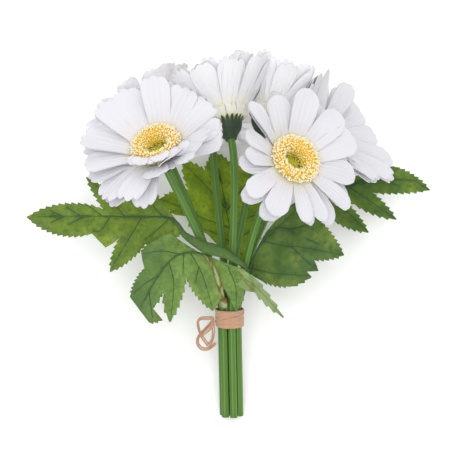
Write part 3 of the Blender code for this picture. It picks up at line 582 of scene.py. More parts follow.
class Shape:
    """Points, faces and marks of one piece. A mark is three numbers that its material reads."""

    def __init__(self):
        self.points = []
        self.marks = []
        self.faces = []
        self.count = 0

    def add(self, points, faces, marks):
        points = np.asarray(points, float).reshape(-1, 3)
        self.points.append(points)
        self.marks.append(np.broadcast_to(np.asarray(marks, float), points.shape))
        self.faces += [[self.count + i for i in face] for face in faces]
        self.count += len(points)

    def piece(self, name, node, surface):
        mesh = bpy.data.meshes.new(name)
        mesh.from_pydata(laid(np.concatenate(self.points)).tolist(), [], self.faces)
        mesh.materials.append(surface)
        mesh.shade_smooth()
        place = mesh.attributes.new("place", "FLOAT_VECTOR", "POINT")
        place.data.foreach_set("vector", np.concatenate(self.marks).astype(np.float32).ravel())
        made = add_object(name, mesh)
        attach(made, "root")
        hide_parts(node)


def add_object(name, data):
    made = bpy.data.objects.new(name, data)
    bpy.context.scene.collection.objects.link(made)
    return made


def turns(count):
    """Even turns round a circle."""
    return np.arange(count) * math.tau / count


def spaced(path, weight=1):
    """How far along a path each of its points lies, with each step weighted if asked."""
    return np.concatenate(((0,), np.cumsum(np.linalg.norm(np.diff(path, axis=0), axis=1) * weight)))


def grid_marks(*marks):
    """Marks of a grid of points, from three sets that stretch to its size."""
    return np.stack(np.broadcast_arrays(*marks), 2).reshape(-1, 3)


def grid_faces(rows, columns, closed=False):
    """Faces of a grid of points, stored row by row, closed round its columns if asked."""
    faces = []
    for i in range(rows - 1):
        for j in range(columns if closed else columns - 1):
            k = (j + 1) % columns
            faces.append((i * columns + j, i * columns + k, (i + 1) * columns + k, (i + 1) * columns + j))
    return faces


def round_faces(rings, sides):
    """Faces of a round form with closed ends, stored ring by ring."""
    faces = [face[::-1] for face in grid_faces(rings, sides, True)]
    faces.append(tuple(range(sides)))
    faces.append(tuple(rings * sides - 1 - j for j in range(sides)))
    return faces


def thick_grid(grid, thickness):
    """Points and faces of a sheet with two sides and a rim, from a grid of middle points."""
    rows, columns, _ = grid.shape
    normal = unit(np.cross(np.gradient(grid, axis=0), np.gradient(grid, axis=1)) + 1e-9)
    top = (grid + normal * thickness / 2).reshape(-1, 3)
    bottom = (grid - normal * thickness / 2).reshape(-1, 3)
    count = rows * columns
    faces = [face[::-1] for face in grid_faces(rows, columns)]
    faces += [tuple(i + count for i in face[::-1]) for face in faces]
    rim = list(range(columns)) + [i * columns + columns - 1 for i in range(1, rows)]
    rim += [count - 1 - j for j in range(1, columns)]
    rim += [i * columns for i in range(rows - 2, 0, -1)]
    for a, b in zip(rim, rim[1:] + rim[:1]):
        faces.append((b, a, a + count, b + count))
    return np.concatenate((top, bottom)), faces


def tube(path, radii, sides, ridges, ridge_depth):
    """Points, faces and marks of a ridged tube with closed ends."""
    along = unit(np.gradient(path, axis=0))
    across = [unit(np.cross(along[0], ASIDE))]
    for direction in along[1:]:
        across.append(unit(across[-1] - direction * (across[-1] @ direction)))
    across = np.array(across)
    other = np.cross(along, across)
    turn = turns(sides)
    ridge = 0.5 + 0.5 * np.cos(ridges * turn)
    swell = 1 - ridge_depth * (1 - ridge)
    around = across[:, None] * np.cos(turn)[:, None] + other[:, None] * np.sin(turn)[:, None]
    points = path[:, None] + around * (np.asarray(radii)[:, None, None] * swell[:, None])
    marks = grid_marks(ridge[None, :], np.linspace(0, 1, len(path))[:, None], 0)
    return points, round_faces(len(path), sides), marks


def smooth_path(points, steps):
    """Points along a smooth curve through the given ones, so many from each to the next."""
    points = np.asarray(points, float)
    ends = np.vstack((2 * points[0] - points[1], points, 2 * points[-1] - points[-2]))
    t = (np.arange(steps) / steps)[:, None]
    path = []
    for a, b, c, d in zip(ends, ends[1:], ends[2:], ends[3:]):
        path.append(0.5 * (2 * b + (c - a) * t + (2 * a - 5 * b + 4 * c - d) * t ** 2
                           + (3 * b - a - 3 * c + d) * t ** 3))
    return np.vstack((*path, points[-1:]))


def spread_along(values, steps):
    """Values at the points of a smooth path, from one value at each point that it was made from."""
    return np.interp(np.arange((len(values) - 1) * steps + 1) / steps, np.arange(len(values)), values)


TIE = seen(*TIE_PLACE)
CUT = seen(*CUT_PLACE)
BUNDLE_AXIS = unit(TIE - CUT)
BUNDLE_ACROSS = unit(RIGHT - BUNDLE_AXIS * BUNDLE_AXIS[0])
BUNDLE_NEAR = np.cross(BUNDLE_ACROSS, BUNDLE_AXIS)


def round_bundle(turn):
    """Directions outward from the bundle's axis."""
    return np.multiply.outer(np.cos(turn), BUNDLE_ACROSS) + np.multiply.outer(np.sin(turn), BUNDLE_NEAR)


def in_bundle(angle, distance, height):
    """A point round the bundle's axis, at a height over the middle of the tie."""
    return TIE + round_bundle(math.radians(angle)) * distance + BUNDLE_AXIS * height


class Bloom:
    """Frame of one flower head: its centre, its facing and the room it may fill."""

    def __init__(self, number, centre, facing, slot, size, share, rises):
        self.number = number
        self.centre = seen(*centre)
        self.axis = unit(np.array(facing, float))
        self.right = unit(RIGHT - self.axis * self.axis[0])
        self.back = np.cross(self.axis, self.right)
        self.slot = slot
        self.size = size
        self.share = share
        self.rises = rises
        self.walls = []

    def side(self, azimuth):
        """Directions outward from the head's axis."""
        across = np.multiply.outer(np.cos(azimuth), self.right)
        return across + np.multiply.outer(np.sin(azimuth), self.back)

    def at(self, radius, azimuth, height):
        """Points at a radius, an azimuth and a height over the head's seat."""
        radius, azimuth, height = np.broadcast_arrays(radius, azimuth, height)
        return self.centre + self.side(azimuth) * radius[..., None] + self.axis * height[..., None]

    def in_ring(self, radius, azimuth, height):
        """Points of the disc, the hollow of which lies toward the side that is seen."""
        front = unit(TOWARD_CAMERA - self.axis * self.axis[2])
        rim = DISC_RADIUS - HOLLOW_RIM
        share = np.clip((rim - np.asarray(radius)) / (rim - DISC_HOLE_RADIUS), 0, 1)
        return self.at(radius, azimuth, height) + front * HOLLOW_SHIFT * share[..., None]

    def rise(self, azimuth):
        """How steeply a petal stands at an azimuth, in degrees, eased between the eight given."""
        place = azimuth / math.tau * len(self.rises)
        low = math.floor(place)
        part = (1 - math.cos((place - low) * math.pi)) / 2
        before = self.rises[low % len(self.rises)]
        after = self.rises[(low + 1) % len(self.rises)]
        return before + (after - before) * part

    def make_room(self, others):
        """Sets a flat wall between this bloom and every other."""
        for other in others:
            if other is not self:
                apart = other.centre - self.centre
                share = self.share / (self.share + other.share)
                self.walls.append((self.centre + apart * share, -unit(apart)))

    def pressed(self, points, lift):
        """Points, eased back from the floor and from each wall that they come too close to."""
        half = PETAL_THICKNESS / 2
        limits = [(place, inward, WALL_MARGIN + lift + half) for place, inward in self.walls]
        limits.append((FLOOR_NORMAL * -FLOOR_DROP, FLOOR_NORMAL, half - PRESS_INTO_FLOOR))
        for place, inward, margin in limits:
            inside = (points - place) @ inward - margin
            eased = PRESS_DEPTH * np.exp((np.minimum(inside, PRESS_DEPTH) - PRESS_DEPTH) / PRESS_DEPTH)
            shift = np.where(inside < PRESS_DEPTH, eased - inside, 0)
            points = points + inward * shift[..., None]
        return points


def petals_of(bloom):
    """Both layers of petals, drawn as for the solids: azimuth, root, slopes, length, width, sway."""
    draw = random.Random(DRAWS[bloom.number - 1])
    petals = []
    for layer, (count, radius, height, droop, length) in enumerate(PETAL_LAYERS):
        for i in range(count):
            place = i + 0.5 * layer + draw.uniform(-AZIMUTH_SPREAD, AZIMUTH_SPREAD)
            azimuth = math.tau * place / count
            slope = bloom.rise(azimuth) - droop + draw.uniform(-SLOPE_SPREAD, SLOPE_SPREAD)
            low = math.radians(min(slope + ROOT_STEEPER, STEEPEST_ROOT))
            high = math.radians(slope - draw.uniform(*TIP_EASES))
            petals.append((azimuth, radius, height, low, high,
                           length * bloom.size * draw.uniform(*LENGTH_SPREAD),
                           PETAL_WIDTH * draw.uniform(*WIDTH_SPREAD),
                           draw.uniform(-SWAY_SPREAD, SWAY_SPREAD)))
    lifts = [draw.uniform(*(UPPER_LIFT if i < PETAL_LAYERS[0][0] else LOWER_LIFT))
             for i in range(len(petals))]
    return zip(petals, lifts)


def resized(bloom, petal):
    """A petal, made longer, steeper or narrower where those of its bloom differ."""
    azimuth, radius, height, low, high, length, width, sway = petal
    for number, middle, spread, lost, steeper, narrower in RESIZED:
        if number == bloom.number:
            away = (math.degrees(azimuth) - middle + 180) % 360 - 180
            share = math.exp(-(away / spread) ** RESIZED_POWER)
            length *= 1 - lost * share
            width *= 1 - narrower * share
            low += math.radians(steeper * share)
            high += math.radians(steeper * share)
    return azimuth, radius, height, low, high, length, width, sway


def bent(s, root, length, slope):
    """Radius and height at shares of a petal's length, from its root and its slope at each share."""
    radius = np.full(s.shape, float(root[0]))
    height = np.full(s.shape, float(root[1]))
    for k in range(BEND_STEPS):
        angle = slope((k + 0.5) / BEND_STEPS * s)
        radius += np.cos(angle) * length * s / BEND_STEPS
        height += np.sin(angle) * length * s / BEND_STEPS
    return radius, height


def swelling(s, widest):
    """How far a petal has opened out at shares of its length."""
    return np.sin(np.minimum(s / widest, 1) * math.pi / 2)


def petal_grid(bloom, petal, lift, draw):
    """The middle surface of one cloth petal, with creases, a ruffle and a toothed round tip."""
    azimuth, root_radius, root_height, low, high, length, width, sway = petal
    widen, widest, rounding, teeth, ruffle = PETAL_LOOKS[bloom.number - 1]
    right = np.array(PETAL_COLUMNS)
    v = np.concatenate((-right[:0:-1], right))[None, :]
    rows = 1 - (1 - np.linspace(0, 1, PETAL_ROWS)) ** ROW_POWER
    claw_rows = np.linspace(0, CLAW_SHARE, CLAW_ROWS, endpoint=False)
    t = np.append(claw_rows, CLAW_SHARE + (1 - CLAW_SHARE) * rows)
    tooth = teeth * draw.uniform(*TEETH_SPREAD)
    tip = 1 - rounding * draw.uniform(*ROUNDING_SPREAD) * np.abs(v) ** TIP_POWER
    tip = tip - tooth * (1 - np.abs(np.cos(TEETH_TURNS * math.pi * v)) ** TEETH_POWER)
    s = t[:, None] * tip
    radius, height = bent(s, (root_radius, root_height), length, lambda part: low + (high - low) * part)
    opening = ROOT_SHARE + (1 - ROOT_SHARE) * swelling(s, widest) ** OPENING_POWER
    half = width * widen * draw.uniform(*CLOTH_WIDTH_SPREAD) / 2 * opening
    if root_radius < PETAL_LAYERS[0][1]:
        middle = len(PETAL_COLUMNS) - 1
        top = [np.interp(CLAW_SHARE, s[:, middle], values[:, middle]) for values in (radius, height)]
        claw = np.array((*CLAW, top))
        share = s / CLAW_SHARE
        radius = np.where(share < 1, np.interp(share, CLAW_PLACES, claw[:, 0]), radius)
        height = np.where(share < 1, np.interp(share, CLAW_PLACES, claw[:, 1]), height)
        half = np.minimum(half, radius * math.pi / PETAL_LAYERS[1][0] * CLAW_OVERLAP)
    crease = (0.5 - 0.5 * np.cos(CREASES * math.pi * v)) * np.sin(math.pi * s ** CREASE_POWER)
    waves = np.sin(RUFFLE_ACROSS * v + RUFFLE_ALONG * s + draw.uniform(0, math.tau))
    wave = ruffle * s ** 2 * waves * (RUFFLE_IN_MIDDLE + (1 - RUFFLE_IN_MIDDLE) * np.abs(v))
    wave = wave + draw.uniform(*TIP_BEND) * np.maximum(s - TIP_BEND_FROM, 0) ** 2
    hollow = draw.uniform(*HOLLOW_SPREAD) * half * v * v
    shingle = SHINGLE * half * v * np.minimum(SHINGLE_GROWTH * s, 1)
    height = height + hollow - CREASE_DEPTH * crease + wave + shingle
    turned = azimuth + sway * s * s
    grid = bloom.at(radius, turned, height) + bloom.side(turned + math.pi / 2) * (half * v)[..., None]
    return bloom.pressed(grid, lift), grid_marks(v, s, draw.random())


def curled_grid(bloom, azimuth, length, width, rise, curl, draw):
    """A small petal that stands up before the ring of florets and curls outward over itself."""
    v = np.linspace(-1, 1, CURLED_COLUMNS)[None, :]
    teeth = 1 - np.abs(np.cos(CURLED_TEETH_WAVE * v))
    s = np.linspace(0, 1, CURLED_ROWS)[:, None]
    s = s * (1 - CURLED_ROUNDING * np.abs(v) ** CURLED_TIP_POWER - CURLED_TEETH * teeth)
    radius, height = bent(s, CURLED_ROOT, length,
                          lambda part: math.radians(rise) - math.radians(curl) * part ** CURL_POWER)
    half = width / 2 * (0.5 + 0.5 * swelling(s, CURLED_WIDEST))
    across, along, phase = CURLED_WAVES
    wave = CURLED_WAVE * np.sin(across * v + along * s + draw.uniform(0, phase)) * s
    turned = math.radians(azimuth) + half * v / CURLED_ORBIT
    return bloom.at(radius + wave, turned, height + wave), grid_marks(v, s, draw.random())


def make_petals(bloom, surface):
    """The white head of one bloom: its flared seat and its petals as creased cloth."""
    shape = Shape()
    rings = len(SEAT_RINGS)
    turn = turns(SEAT_SIDES)
    seat = np.array([bloom.at(radius, turn, height) for radius, height in SEAT_RINGS])
    marks = grid_marks(np.sin(turn * SEAT_RIBS), np.linspace(0, SEAT_TONE, rings)[:, None], 0)
    shape.add(seat, round_faces(rings, SEAT_SIDES), marks)
    draw = random.Random(CLOTH_DRAW + bloom.number)
    sheets = [petal_grid(bloom, resized(bloom, petal), lift, draw) for petal, lift in petals_of(bloom)]
    if bloom.number == 1:
        sheets += [curled_grid(bloom, *curled, draw) for curled in CURLED]
    for grid, marks in sheets:
        points, faces = thick_grid(grid, CLOTH_THICKNESS)
        shape.add(points, faces, np.concatenate((marks, marks + (0, 0, UNDERSIDE_STEP))))
    shape.piece(f"head_{bloom.number}_petals", f"petals_{bloom.number}", surface)


def floret(radius, height, leaning):
    """A small tube that opens in five lobes, along +Z, with marks of how high each point is."""
    n = FLORET_SIDES
    points = []
    marks = []
    for turned, wide, high, mark in FLORET_RINGS:
        angle = turns(n) + turned * math.tau / n
        points.append(np.stack((np.cos(angle) * radius * wide + leaning * height * high,
                                np.sin(angle) * radius * wide, np.full(n, height * high)), 1))
        marks.append(np.full(n, mark))
    faces = []
    for j in range(n):
        a, b, c, d, e = (ring * n + j for ring in range(5))
        next_a, next_b, next_c, next_d, next_e = (ring * n + (j + 1) % n for ring in range(5))
        faces += [(a, next_a, next_b, b), (b, next_b, c), (next_b, next_c, c), (c, next_c, next_d),
                  (d, c, next_d), (d, next_d, next_e, e)]
    faces.append(tuple(range(4 * n, 5 * n)))
    return np.concatenate(points), faces, np.concatenate(marks)


def set_on(points, place, outward, spin):
    """Points made along +Z, stood at a place along a direction."""
    helper = TOWARD_CAMERA if abs(outward[2]) < NEARLY_FACING else RIGHT
    first = unit(np.cross(helper, outward))
    second = np.cross(outward, first)
    x = points[:, :1] * math.cos(spin) - points[:, 1:2] * math.sin(spin)
    y = points[:, :1] * math.sin(spin) + points[:, 1:2] * math.cos(spin)
    return place + x * first + y * second + points[:, 2:] * outward


def make_disc(bloom, surface):
    """The ring of florets: a soft core with hundreds of small open tubes on it."""
    outline = np.array([(DISC_RADIUS - inset, height) for inset, height in DISC_SECTION])
    centre = np.array(((DISC_RADIUS + DISC_HOLE_RADIUS) / 2, DISC_MIDDLE_HEIGHT))
    inner = centre + (outline - centre) * DISC_CORE
    shape = Shape()
    turn = turns(DISC_SIDES)
    core = np.array([bloom.in_ring(np.full(DISC_SIDES, radius), turn, height) for radius, height in inner])
    faces = [face[::-1] for face in grid_faces(len(inner), DISC_SIDES, True)]
    last = (len(inner) - 1) * DISC_SIDES
    for j in range(DISC_SIDES):
        k = (j + 1) % DISC_SIDES
        faces.append((j, k, last + k, last + j))
    shape.add(core, faces, (0, 0, 0))
    draw = random.Random(FLORET_DRAW + bloom.number)
    path = smooth_path(inner, FLORET_PATH_STEPS)
    lengths = spaced(path, path[1:, 0])
    for i in range(FLORET_COUNT):
        share = (i + draw.uniform(*FLORET_PLACES)) / FLORET_COUNT * lengths[-1]
        k = min(int(np.searchsorted(lengths, share)), len(path) - 1)
        around = k / len(path)
        slope = path[min(k + 1, len(path) - 1)] - path[max(k - 1, 0)]
        outward = unit(np.array((slope[1], -slope[0])))
        azimuth = i * GOLDEN_TURN + draw.uniform(-FLORET_SWAY, FLORET_SWAY)
        place = bloom.in_ring(path[k][0], azimuth, path[k][1])
        jitter = np.array([draw.uniform(-FLORET_JITTER, FLORET_JITTER) for _ in range(3)])
        upward = bloom.axis * (outward[1] + FLORET_UPWARD)
        direction = unit(bloom.side(azimuth) * outward[0] + upward + jitter)
        size = draw.uniform(*FLORET_SIZES) * (OUTER_SIZE - SIZE_LOSS * around)
        height = FLORET_HEIGHT * size * draw.uniform(*FLORET_TALLNESS)
        points, faces, high = floret(FLORET_RADIUS * size, height, draw.uniform(-FLORET_LEAN, FLORET_LEAN))
        marks = np.column_stack((high, np.full((len(high), 2), (draw.random(), around))))
        shape.add(set_on(points, place, direction, draw.uniform(0, math.tau)), faces, marks)
    shape.piece(f"head_{bloom.number}_florets", f"disc_{bloom.number}", surface)


def bud():
    """A pointed bud of rings along +Z, with marks of how high each point is."""
    points = []
    for i, (high, wide) in enumerate(BUD_RINGS):
        angle = turns(BUD_SIDES) + BUD_TWIST * i
        points.append(np.stack((np.cos(angle) * wide, np.sin(angle) * wide, np.full(BUD_SIDES, high)), 1))
    rings = len(BUD_RINGS)
    faces = grid_faces(rings, BUD_SIDES, True)
    faces.append(tuple(range((rings - 1) * BUD_SIDES, rings * BUD_SIDES)))
    marks = np.repeat([high / BUD_RINGS[-1][0] for high, _ in BUD_RINGS], BUD_SIDES)
    return np.concatenate(points) * BUD_RADIUS, faces, marks


def make_eye(bloom, surface):
    """The close green buds in the hollow of the ring, on a low dome."""
    shape = Shape()
    turn = turns(EYE_SIDES)
    dome = np.array([bloom.in_ring(np.full(EYE_SIDES, EYE_RADIUS + out), turn, height)
                     for out, height in EYE_RINGS])
    faces = [face[::-1] for face in round_faces(len(EYE_RINGS), EYE_SIDES)]
    shape.add(dome, faces, (0, 0, 0))
    draw = random.Random(BUD_DRAW + bloom.number)
    points, faces, high = bud()
    for i in range(BUD_COUNT):
        radius = (EYE_RADIUS + BUD_OVERHANG) * math.sqrt((i + 0.5) / BUD_COUNT)
        height = EYE_DISH * (radius / EYE_RADIUS) ** 2 - EYE_DEPTH
        place = bloom.in_ring(radius, i * GOLDEN_TURN, height)
        side = unit(place - bloom.in_ring(0, 0, 0) + 1e-6)
        direction = unit(bloom.axis + BUD_LEAN * side * radius / EYE_RADIUS)
        marks = np.column_stack((high, np.full((len(high), 2), (draw.random(), 0))))
        shape.add(set_on(points * draw.uniform(*BUD_SIZES), place, direction, i), faces, marks)
    shape.piece(f"head_{bloom.number}_eye", f"eye_{bloom.number}", surface)


def stem_path(bloom):
    """A stem's middle line from its cut end through the tie to the bloom, its radii and the cup's foot."""
    slot = (0, 0) if bloom.slot is None else (bloom.slot, STEM_SPACING)
    cut = in_bundle(*slot, -np.linalg.norm(TIE - CUT))
    start = in_bundle(*slot, FAN_START)
    foot = bloom.centre - bloom.axis * (CORE_DEPTH + GAP + CUP_LENGTH)
    reach = np.linalg.norm(foot - start)
    handle = start + unit(BUNDLE_AXIS + unit(foot - start)) * (LOWER_BEND * reach)
    last_handle = foot - bloom.axis * (UPPER_BEND * reach)
    down = np.linspace(0, 1, STRAIGHT_STEPS, endpoint=False)[:, None]
    t = np.linspace(0, 1, FAN_STEPS, endpoint=False)[:, None]
    fan = (start * (1 - t) ** 3 + handle * 3 * t * (1 - t) ** 2 + last_handle * 3 * t * t * (1 - t)
           + foot * t ** 3)
    heights = np.linspace(0, CUP_LENGTH, CUP_STEPS)
    path = np.vstack((cut + (start - cut) * down, fan, foot + bloom.axis * heights[:, None]))
    cup = np.interp(heights, *zip(*CUP_PROFILE))
    return path, np.append(np.full(STRAIGHT_STEPS + FAN_STEPS, STEM_RADIUS), cup), foot


def bract(bloom, foot, azimuth, low, high, width):
    """A pointed green scale that hugs the cup from one height to another."""
    heights = np.linspace(low, high, BRACT_STEPS)
    share = np.linspace(0, 1, BRACT_STEPS)
    swell = np.sin((BRACT_FOOT + (1 - BRACT_FOOT) * share) * math.pi) ** BRACT_POWER
    wide = width * swell * (1 - share ** BRACT_TAPER)
    wide[-1] = BRACT_TIP_WIDTH
    cup = np.interp(heights, *zip(*CUP_PROFILE))
    v = np.array(BRACT_COLUMNS)
    lift = BRACT_LIFT + BRACT_FLARE * high / CUP_LENGTH + BRACT_CROWN * (1 - v ** 2)
    turn = azimuth + (wide / cup / 2)[:, None] * v
    grid = foot + bloom.side(turn) * (cup[:, None] + lift)[..., None] + bloom.axis * heights[:, None, None]
    return grid, grid_marks(np.abs(v)[None, :], share[:, None], 0)


def make_stem(bloom, surface):
    """A ridged stem with the cup of green scales under its bloom."""
    path, radii, foot = stem_path(bloom)
    shape = Shape()
    shape.add(*tube(path, radii, STEM_SIDES, STEM_RIDGES, STEM_RIDGE_DEPTH))
    for row, (count, low, high, width) in enumerate(BRACT_ROWS):
        for i in range(count):
            grid, marks = bract(bloom, foot, math.tau * (i + 0.5 * row) / count, low, high, width)
            points, faces = thick_grid(grid, BRACT_THICKNESS)
            shape.add(points, faces, np.concatenate((marks, marks)) + (0, 2 + row, 0))
    shape.piece(f"stem_{bloom.number}_ridged", f"stem_{bloom.number}", surface)


def margin(start, end, teeth, swell, outward):
    """Points of a leaf's margin between two corners, the last left out, with saw teeth."""
    count = round(abs(teeth) * FINER_TEETH)
    middle = (start + end) / 2
    if not count:
        if (end - start).length < BLUNT_TIP:
            return [middle + outward * TIP_REACH]
        return [start, middle + outward * swell] if swell else [start]
    points = [start]
    lean = TOOTH_LEAN if teeth > 0 else 1 - TOOTH_LEAN
    for k in range(count):
        for share, height in ((lean, TOOTH_HEIGHT), (1, 0)):
            t = (k + share) / count
            if t < 1:
                grown = min(1, TOOTH_GROWTH * min(t, 1 - t) + LEAST_TOOTH)
                points.append(start.lerp(end, t) + outward * (4 * t * (1 - t) * swell + height * grown))
    return points


def blade_outline(edge):
    """The toothed outline of a blade as seen, from its corners."""
    corners = [Vector((across, up)) for (across, up, _), _, _ in edge]
    after = corners[1:] + corners[:1]
    turn = sum(a.x * b.y - a.y * b.x for a, b in zip(corners, after))
    side = 1 if turn < 0 else -1
    outline = []
    for (start, end), (_, teeth, swell) in zip(zip(corners, after), edge):
        along = (end - start).normalized()
        outline += margin(start, end, teeth, swell, Vector((-along.y, along.x)) * side)
    return outline


def inside_outline(place, edge):
    """Whether a seen place lies within a blade's corners."""
    across, up, _ = place
    corners = [corner for corner, _, _ in edge]
    inside = False
    for (ax, ay, _), (bx, by, _) in zip(corners, corners[1:] + corners[:1]):
        if (ay > up) != (by > up) and across < ax + (up - ay) / (by - ay) * (bx - ax):
            inside = not inside
    return inside


def vein_lines(veins):
    """Each vein as close points with the half width of its dark line at each."""
    lines = []
    for vein in veins:
        path = smooth_path(vein, VEIN_PATH_STEPS)
        length = spaced(path)
        steps = max(int(length[-1] / VEIN_STEP), 3)
        at = np.linspace(0, length[-1], steps + 1)
        points = np.column_stack([np.interp(at, length, path[:, k]) for k in (0, 1)])
        lines.append((points, np.linspace(*VEIN_WIDTH, steps + 1) / 2))
    return lines


def vein_distance(points, lines):
    """How far each point is from the nearest vein, and that distance over the vein's half width."""
    nearest = np.full(len(points), np.inf)
    ratio = np.full(len(points), np.inf)
    for line, widths in lines:
        for a, b, wide in zip(line, line[1:], widths):
            along = b - a
            t = np.clip(((points - a) @ along) / (along @ along), 0, 1)
            far = np.linalg.norm(points - a - t[:, None] * along, axis=1)
            nearest = np.minimum(nearest, far)
            ratio = np.minimum(ratio, far / wide)
    return nearest, ratio


def nearness(points, guides):
    """How near the blade is at seen points, eased between its corners and its midrib."""
    guides = np.array(guides)
    apart = points[:, None, :] - guides[None, :, :2]
    weight = 1 / ((apart ** 2).sum(2) + LEAF_FLAT_DISTANCE) ** LEAF_NEARNESS_POWER
    return (weight * guides[:, 2]).sum(1) / weight.sum(1)


def flat_blade(outline, lines, seed):
    """A blade's flat points and faces as seen: its outline, three tracks a vein and an even fill."""
    points = list(outline)
    edges = [(i, (i + 1) % len(outline)) for i in range(len(outline))]
    for line, widths in lines:
        across = unit(np.gradient(line, axis=0)[:, ::-1] * (-1, 1)) * widths[:, None]
        for track in (line, line + across, line - across):
            first = len(points)
            points += [Vector(p) for p in track]
            edges += [(first + i, first + i + 1) for i in range(len(track) - 1)]
    fixed = np.array([tuple(p) for p in points])
    low = fixed[:len(outline)].min(0)
    high = fixed[:len(outline)].max(0)
    draw = random.Random(seed)
    for row, up in enumerate(np.arange(low[1], high[1], BLADE_PITCH * BLADE_ROW_SHARE)):
        for across in np.arange(low[0] + (row % 2) * BLADE_PITCH / 2, high[0], BLADE_PITCH):
            place = np.array([value + draw.uniform(-BLADE_JITTER, BLADE_JITTER) for value in (across, up)])
            if np.min(((fixed - place) ** 2).sum(1)) > (BLADE_CLEARANCE * BLADE_PITCH) ** 2:
                points.append(Vector(place))
    made, _, faces, *_ = delaunay_2d_cdt(points, edges, [], 1, 1e-4)
    used = sorted({i for face in faces for i in face})
    number = {old: new for new, old in enumerate(used)}
    return np.array([tuple(made[i]) for i in used]), [[number[i] for i in face] for face in faces]


def blade(shape, edge, midrib, veins, seed, folded):
    """Adds a thin toothed blade with sunk veins to a leaf's shape; a folded one shows its underside."""
    lines = vein_lines(veins)
    flat, faces = flat_blade(blade_outline(edge), lines, seed)
    nearest, ratio = vein_distance(flat, lines)
    near = nearness(flat, [corner for corner, _, _ in edge] + midrib)
    near -= VEIN_GROOVE * np.exp(-(nearest / VEIN_REACH) ** 2)
    pucker = np.sin(flat[:, 0] * PUCKER_WAVES[0] + seed) * np.sin(flat[:, 1] * PUCKER_WAVES[1] + 2 * seed)
    near += PUCKER * pucker * np.minimum(nearest / PUCKER_FADE, 1)
    middle = np.column_stack((flat * (1 - near / VIEW_DISTANCE)[:, None], near))
    normal = np.zeros(middle.shape)
    for face in faces:
        a, b, c = middle[face]
        normal[face] += np.cross(b - a, c - a)
    normal = unit(normal) * BLADE_THICKNESS / 2
    count = len(middle)
    steps = dict.fromkeys(step for face in faces for step in zip(face, face[1:] + face[:1]))
    skin = faces + [[i + count for i in face[::-1]] for face in faces]
    skin += [[b, a, a + count, b + count] for a, b in steps if (b, a) not in steps]
    vein = np.clip(VEIN_SOFTNESS - ratio, 0, 1)
    away = np.clip(nearest / VEIN_SURROUND, 0, 1)
    upper = np.column_stack((vein, away, np.full(count, UNDERSIDE_MARK if folded else UPPER_MARK)))
    under = np.column_stack((vein * UNDERSIDE_INK, away, np.full(count, UNDERSIDE_MARK)))
    shape.add(np.concatenate((middle + normal, middle - normal)), skin, np.concatenate((upper, under)))


def make_leaf(name, groove, edges, stalk, surface):
    """One leaf: a stalk from its groove in the tie, and the blades that it carries."""
    route = [in_bundle(groove, GROOVE_DISTANCE, height) for height in STALK_HEIGHTS_IN_TIE]
    radii = [STALK_RADIUS_IN_TIE] * len(route)
    inks = [STALK_INK] * len(route)
    parts = [STALK_MARK] * len(route)
    for (across, up, near), radius in stalk:
        on_blade = inside_outline((across, up, near), edges[0])
        over = name == "leaf_front" and across > PETIOLE_END
        route.append(seen(across, up, near + (PETIOLE_RISE if over and on_blade else 0)))
        radii.append(radius * (MIDRIB_SHARE if on_blade and not over else 1))
        inks.append(1 if on_blade else STALK_INK)
        parts.append(PETIOLE_MARK if over else STALK_MARK)
    thick, ink, part = (spread_along(values, STALK_STEPS) for values in (radii, inks, parts))
    thick = thick * STOUT_STALKS.get(name, 1)
    points, faces, marks = tube(smooth_path(route, STALK_STEPS), thick, STALK_SIDES, STALK_RIDGES,
                                STALK_RIDGE_DEPTH)
    marks[:, 0] *= np.repeat(ink, STALK_SIDES)
    marks[:, 2] = np.repeat(part, STALK_SIDES)
    shape = Shape()
    shape.add(points, faces, marks)
    for i, edge in enumerate(edges):
        midrib = [place for place, _ in stalk if i == 0 and inside_outline(place, edge)]
        veins = VEINS[name] if i == 0 else FOLDED_LOBE_VEINS
        blade(shape, edge, midrib, veins, LEAF_DRAW + len(name) + i, folded=i > 0)
    shape.piece(f"{name}_veined", name, surface)


def ribbon(path, width, thickness, outward, rounding):
    """A flat strand along a path, its broad side outward, with a rounded section."""
    along = unit(np.gradient(path, axis=0))
    outward = unit(outward - along * (outward * along).sum(1, keepdims=True))
    across = np.cross(along, outward)
    turn = turns(RIBBON_SIDES)
    ring_u, ring_v = (np.sign(wave) * np.abs(wave) ** rounding for wave in (np.cos(turn), np.sin(turn)))
    width = np.broadcast_to(width, len(path))[:, None, None] / 2
    points = (path[:, None] + across[:, None] * ring_u[None, :, None] * width
              + outward[:, None] * ring_v[None, :, None] * thickness / 2)
    marks = grid_marks(ring_u[None, :], spaced(path)[:, None], 0)
    return points, round_faces(len(path), RIBBON_SIDES), marks


def wound(turn, radius, height):
    """Points round the tie, and the directions outward there."""
    side = round_bundle(turn)
    return TIE + BUNDLE_AXIS * height[:, None] + side * np.broadcast_to(radius, len(turn))[:, None], side


def make_band(surface):
    """The raffia wound round the stems, turn upon turn, with one strand aslant over it."""
    shape = Shape()
    draw = random.Random(WRAP_DRAW)
    turn = np.linspace(0, math.tau, WRAP_STEPS)
    reach = (BAND_HEIGHT - WRAP_WIDTH) / 2
    for k, middle in enumerate(np.linspace(-reach, reach, WRAP_TURNS)):
        phase = draw.uniform(0, math.tau)
        height = middle + WRAP_SWAY * np.sin(turn + phase)
        lift = WRAP_LIFT + WRAP_WAVE * np.sin(2 * turn + 2 * phase) + WRAP_STAGGER * (k % 2)
        path, side = wound(turn, BAND_INNER_RADIUS + lift, height)
        shape.add(*ribbon(path, WRAP_WIDTH, WRAP_THICKNESS, side, WRAP_ROUNDING))
    path, side = wound(np.radians(np.linspace(*ASLANT_TURN, ASLANT_STEPS)), BAND_INNER_RADIUS + ASLANT_LIFT,
                       np.linspace(*ASLANT_HEIGHT, ASLANT_STEPS))
    shape.add(*ribbon(path, *ASLANT_SIZE, side, STRAND_ROUNDING))
    shape.piece("raffia_wraps", "raffia_band", surface)


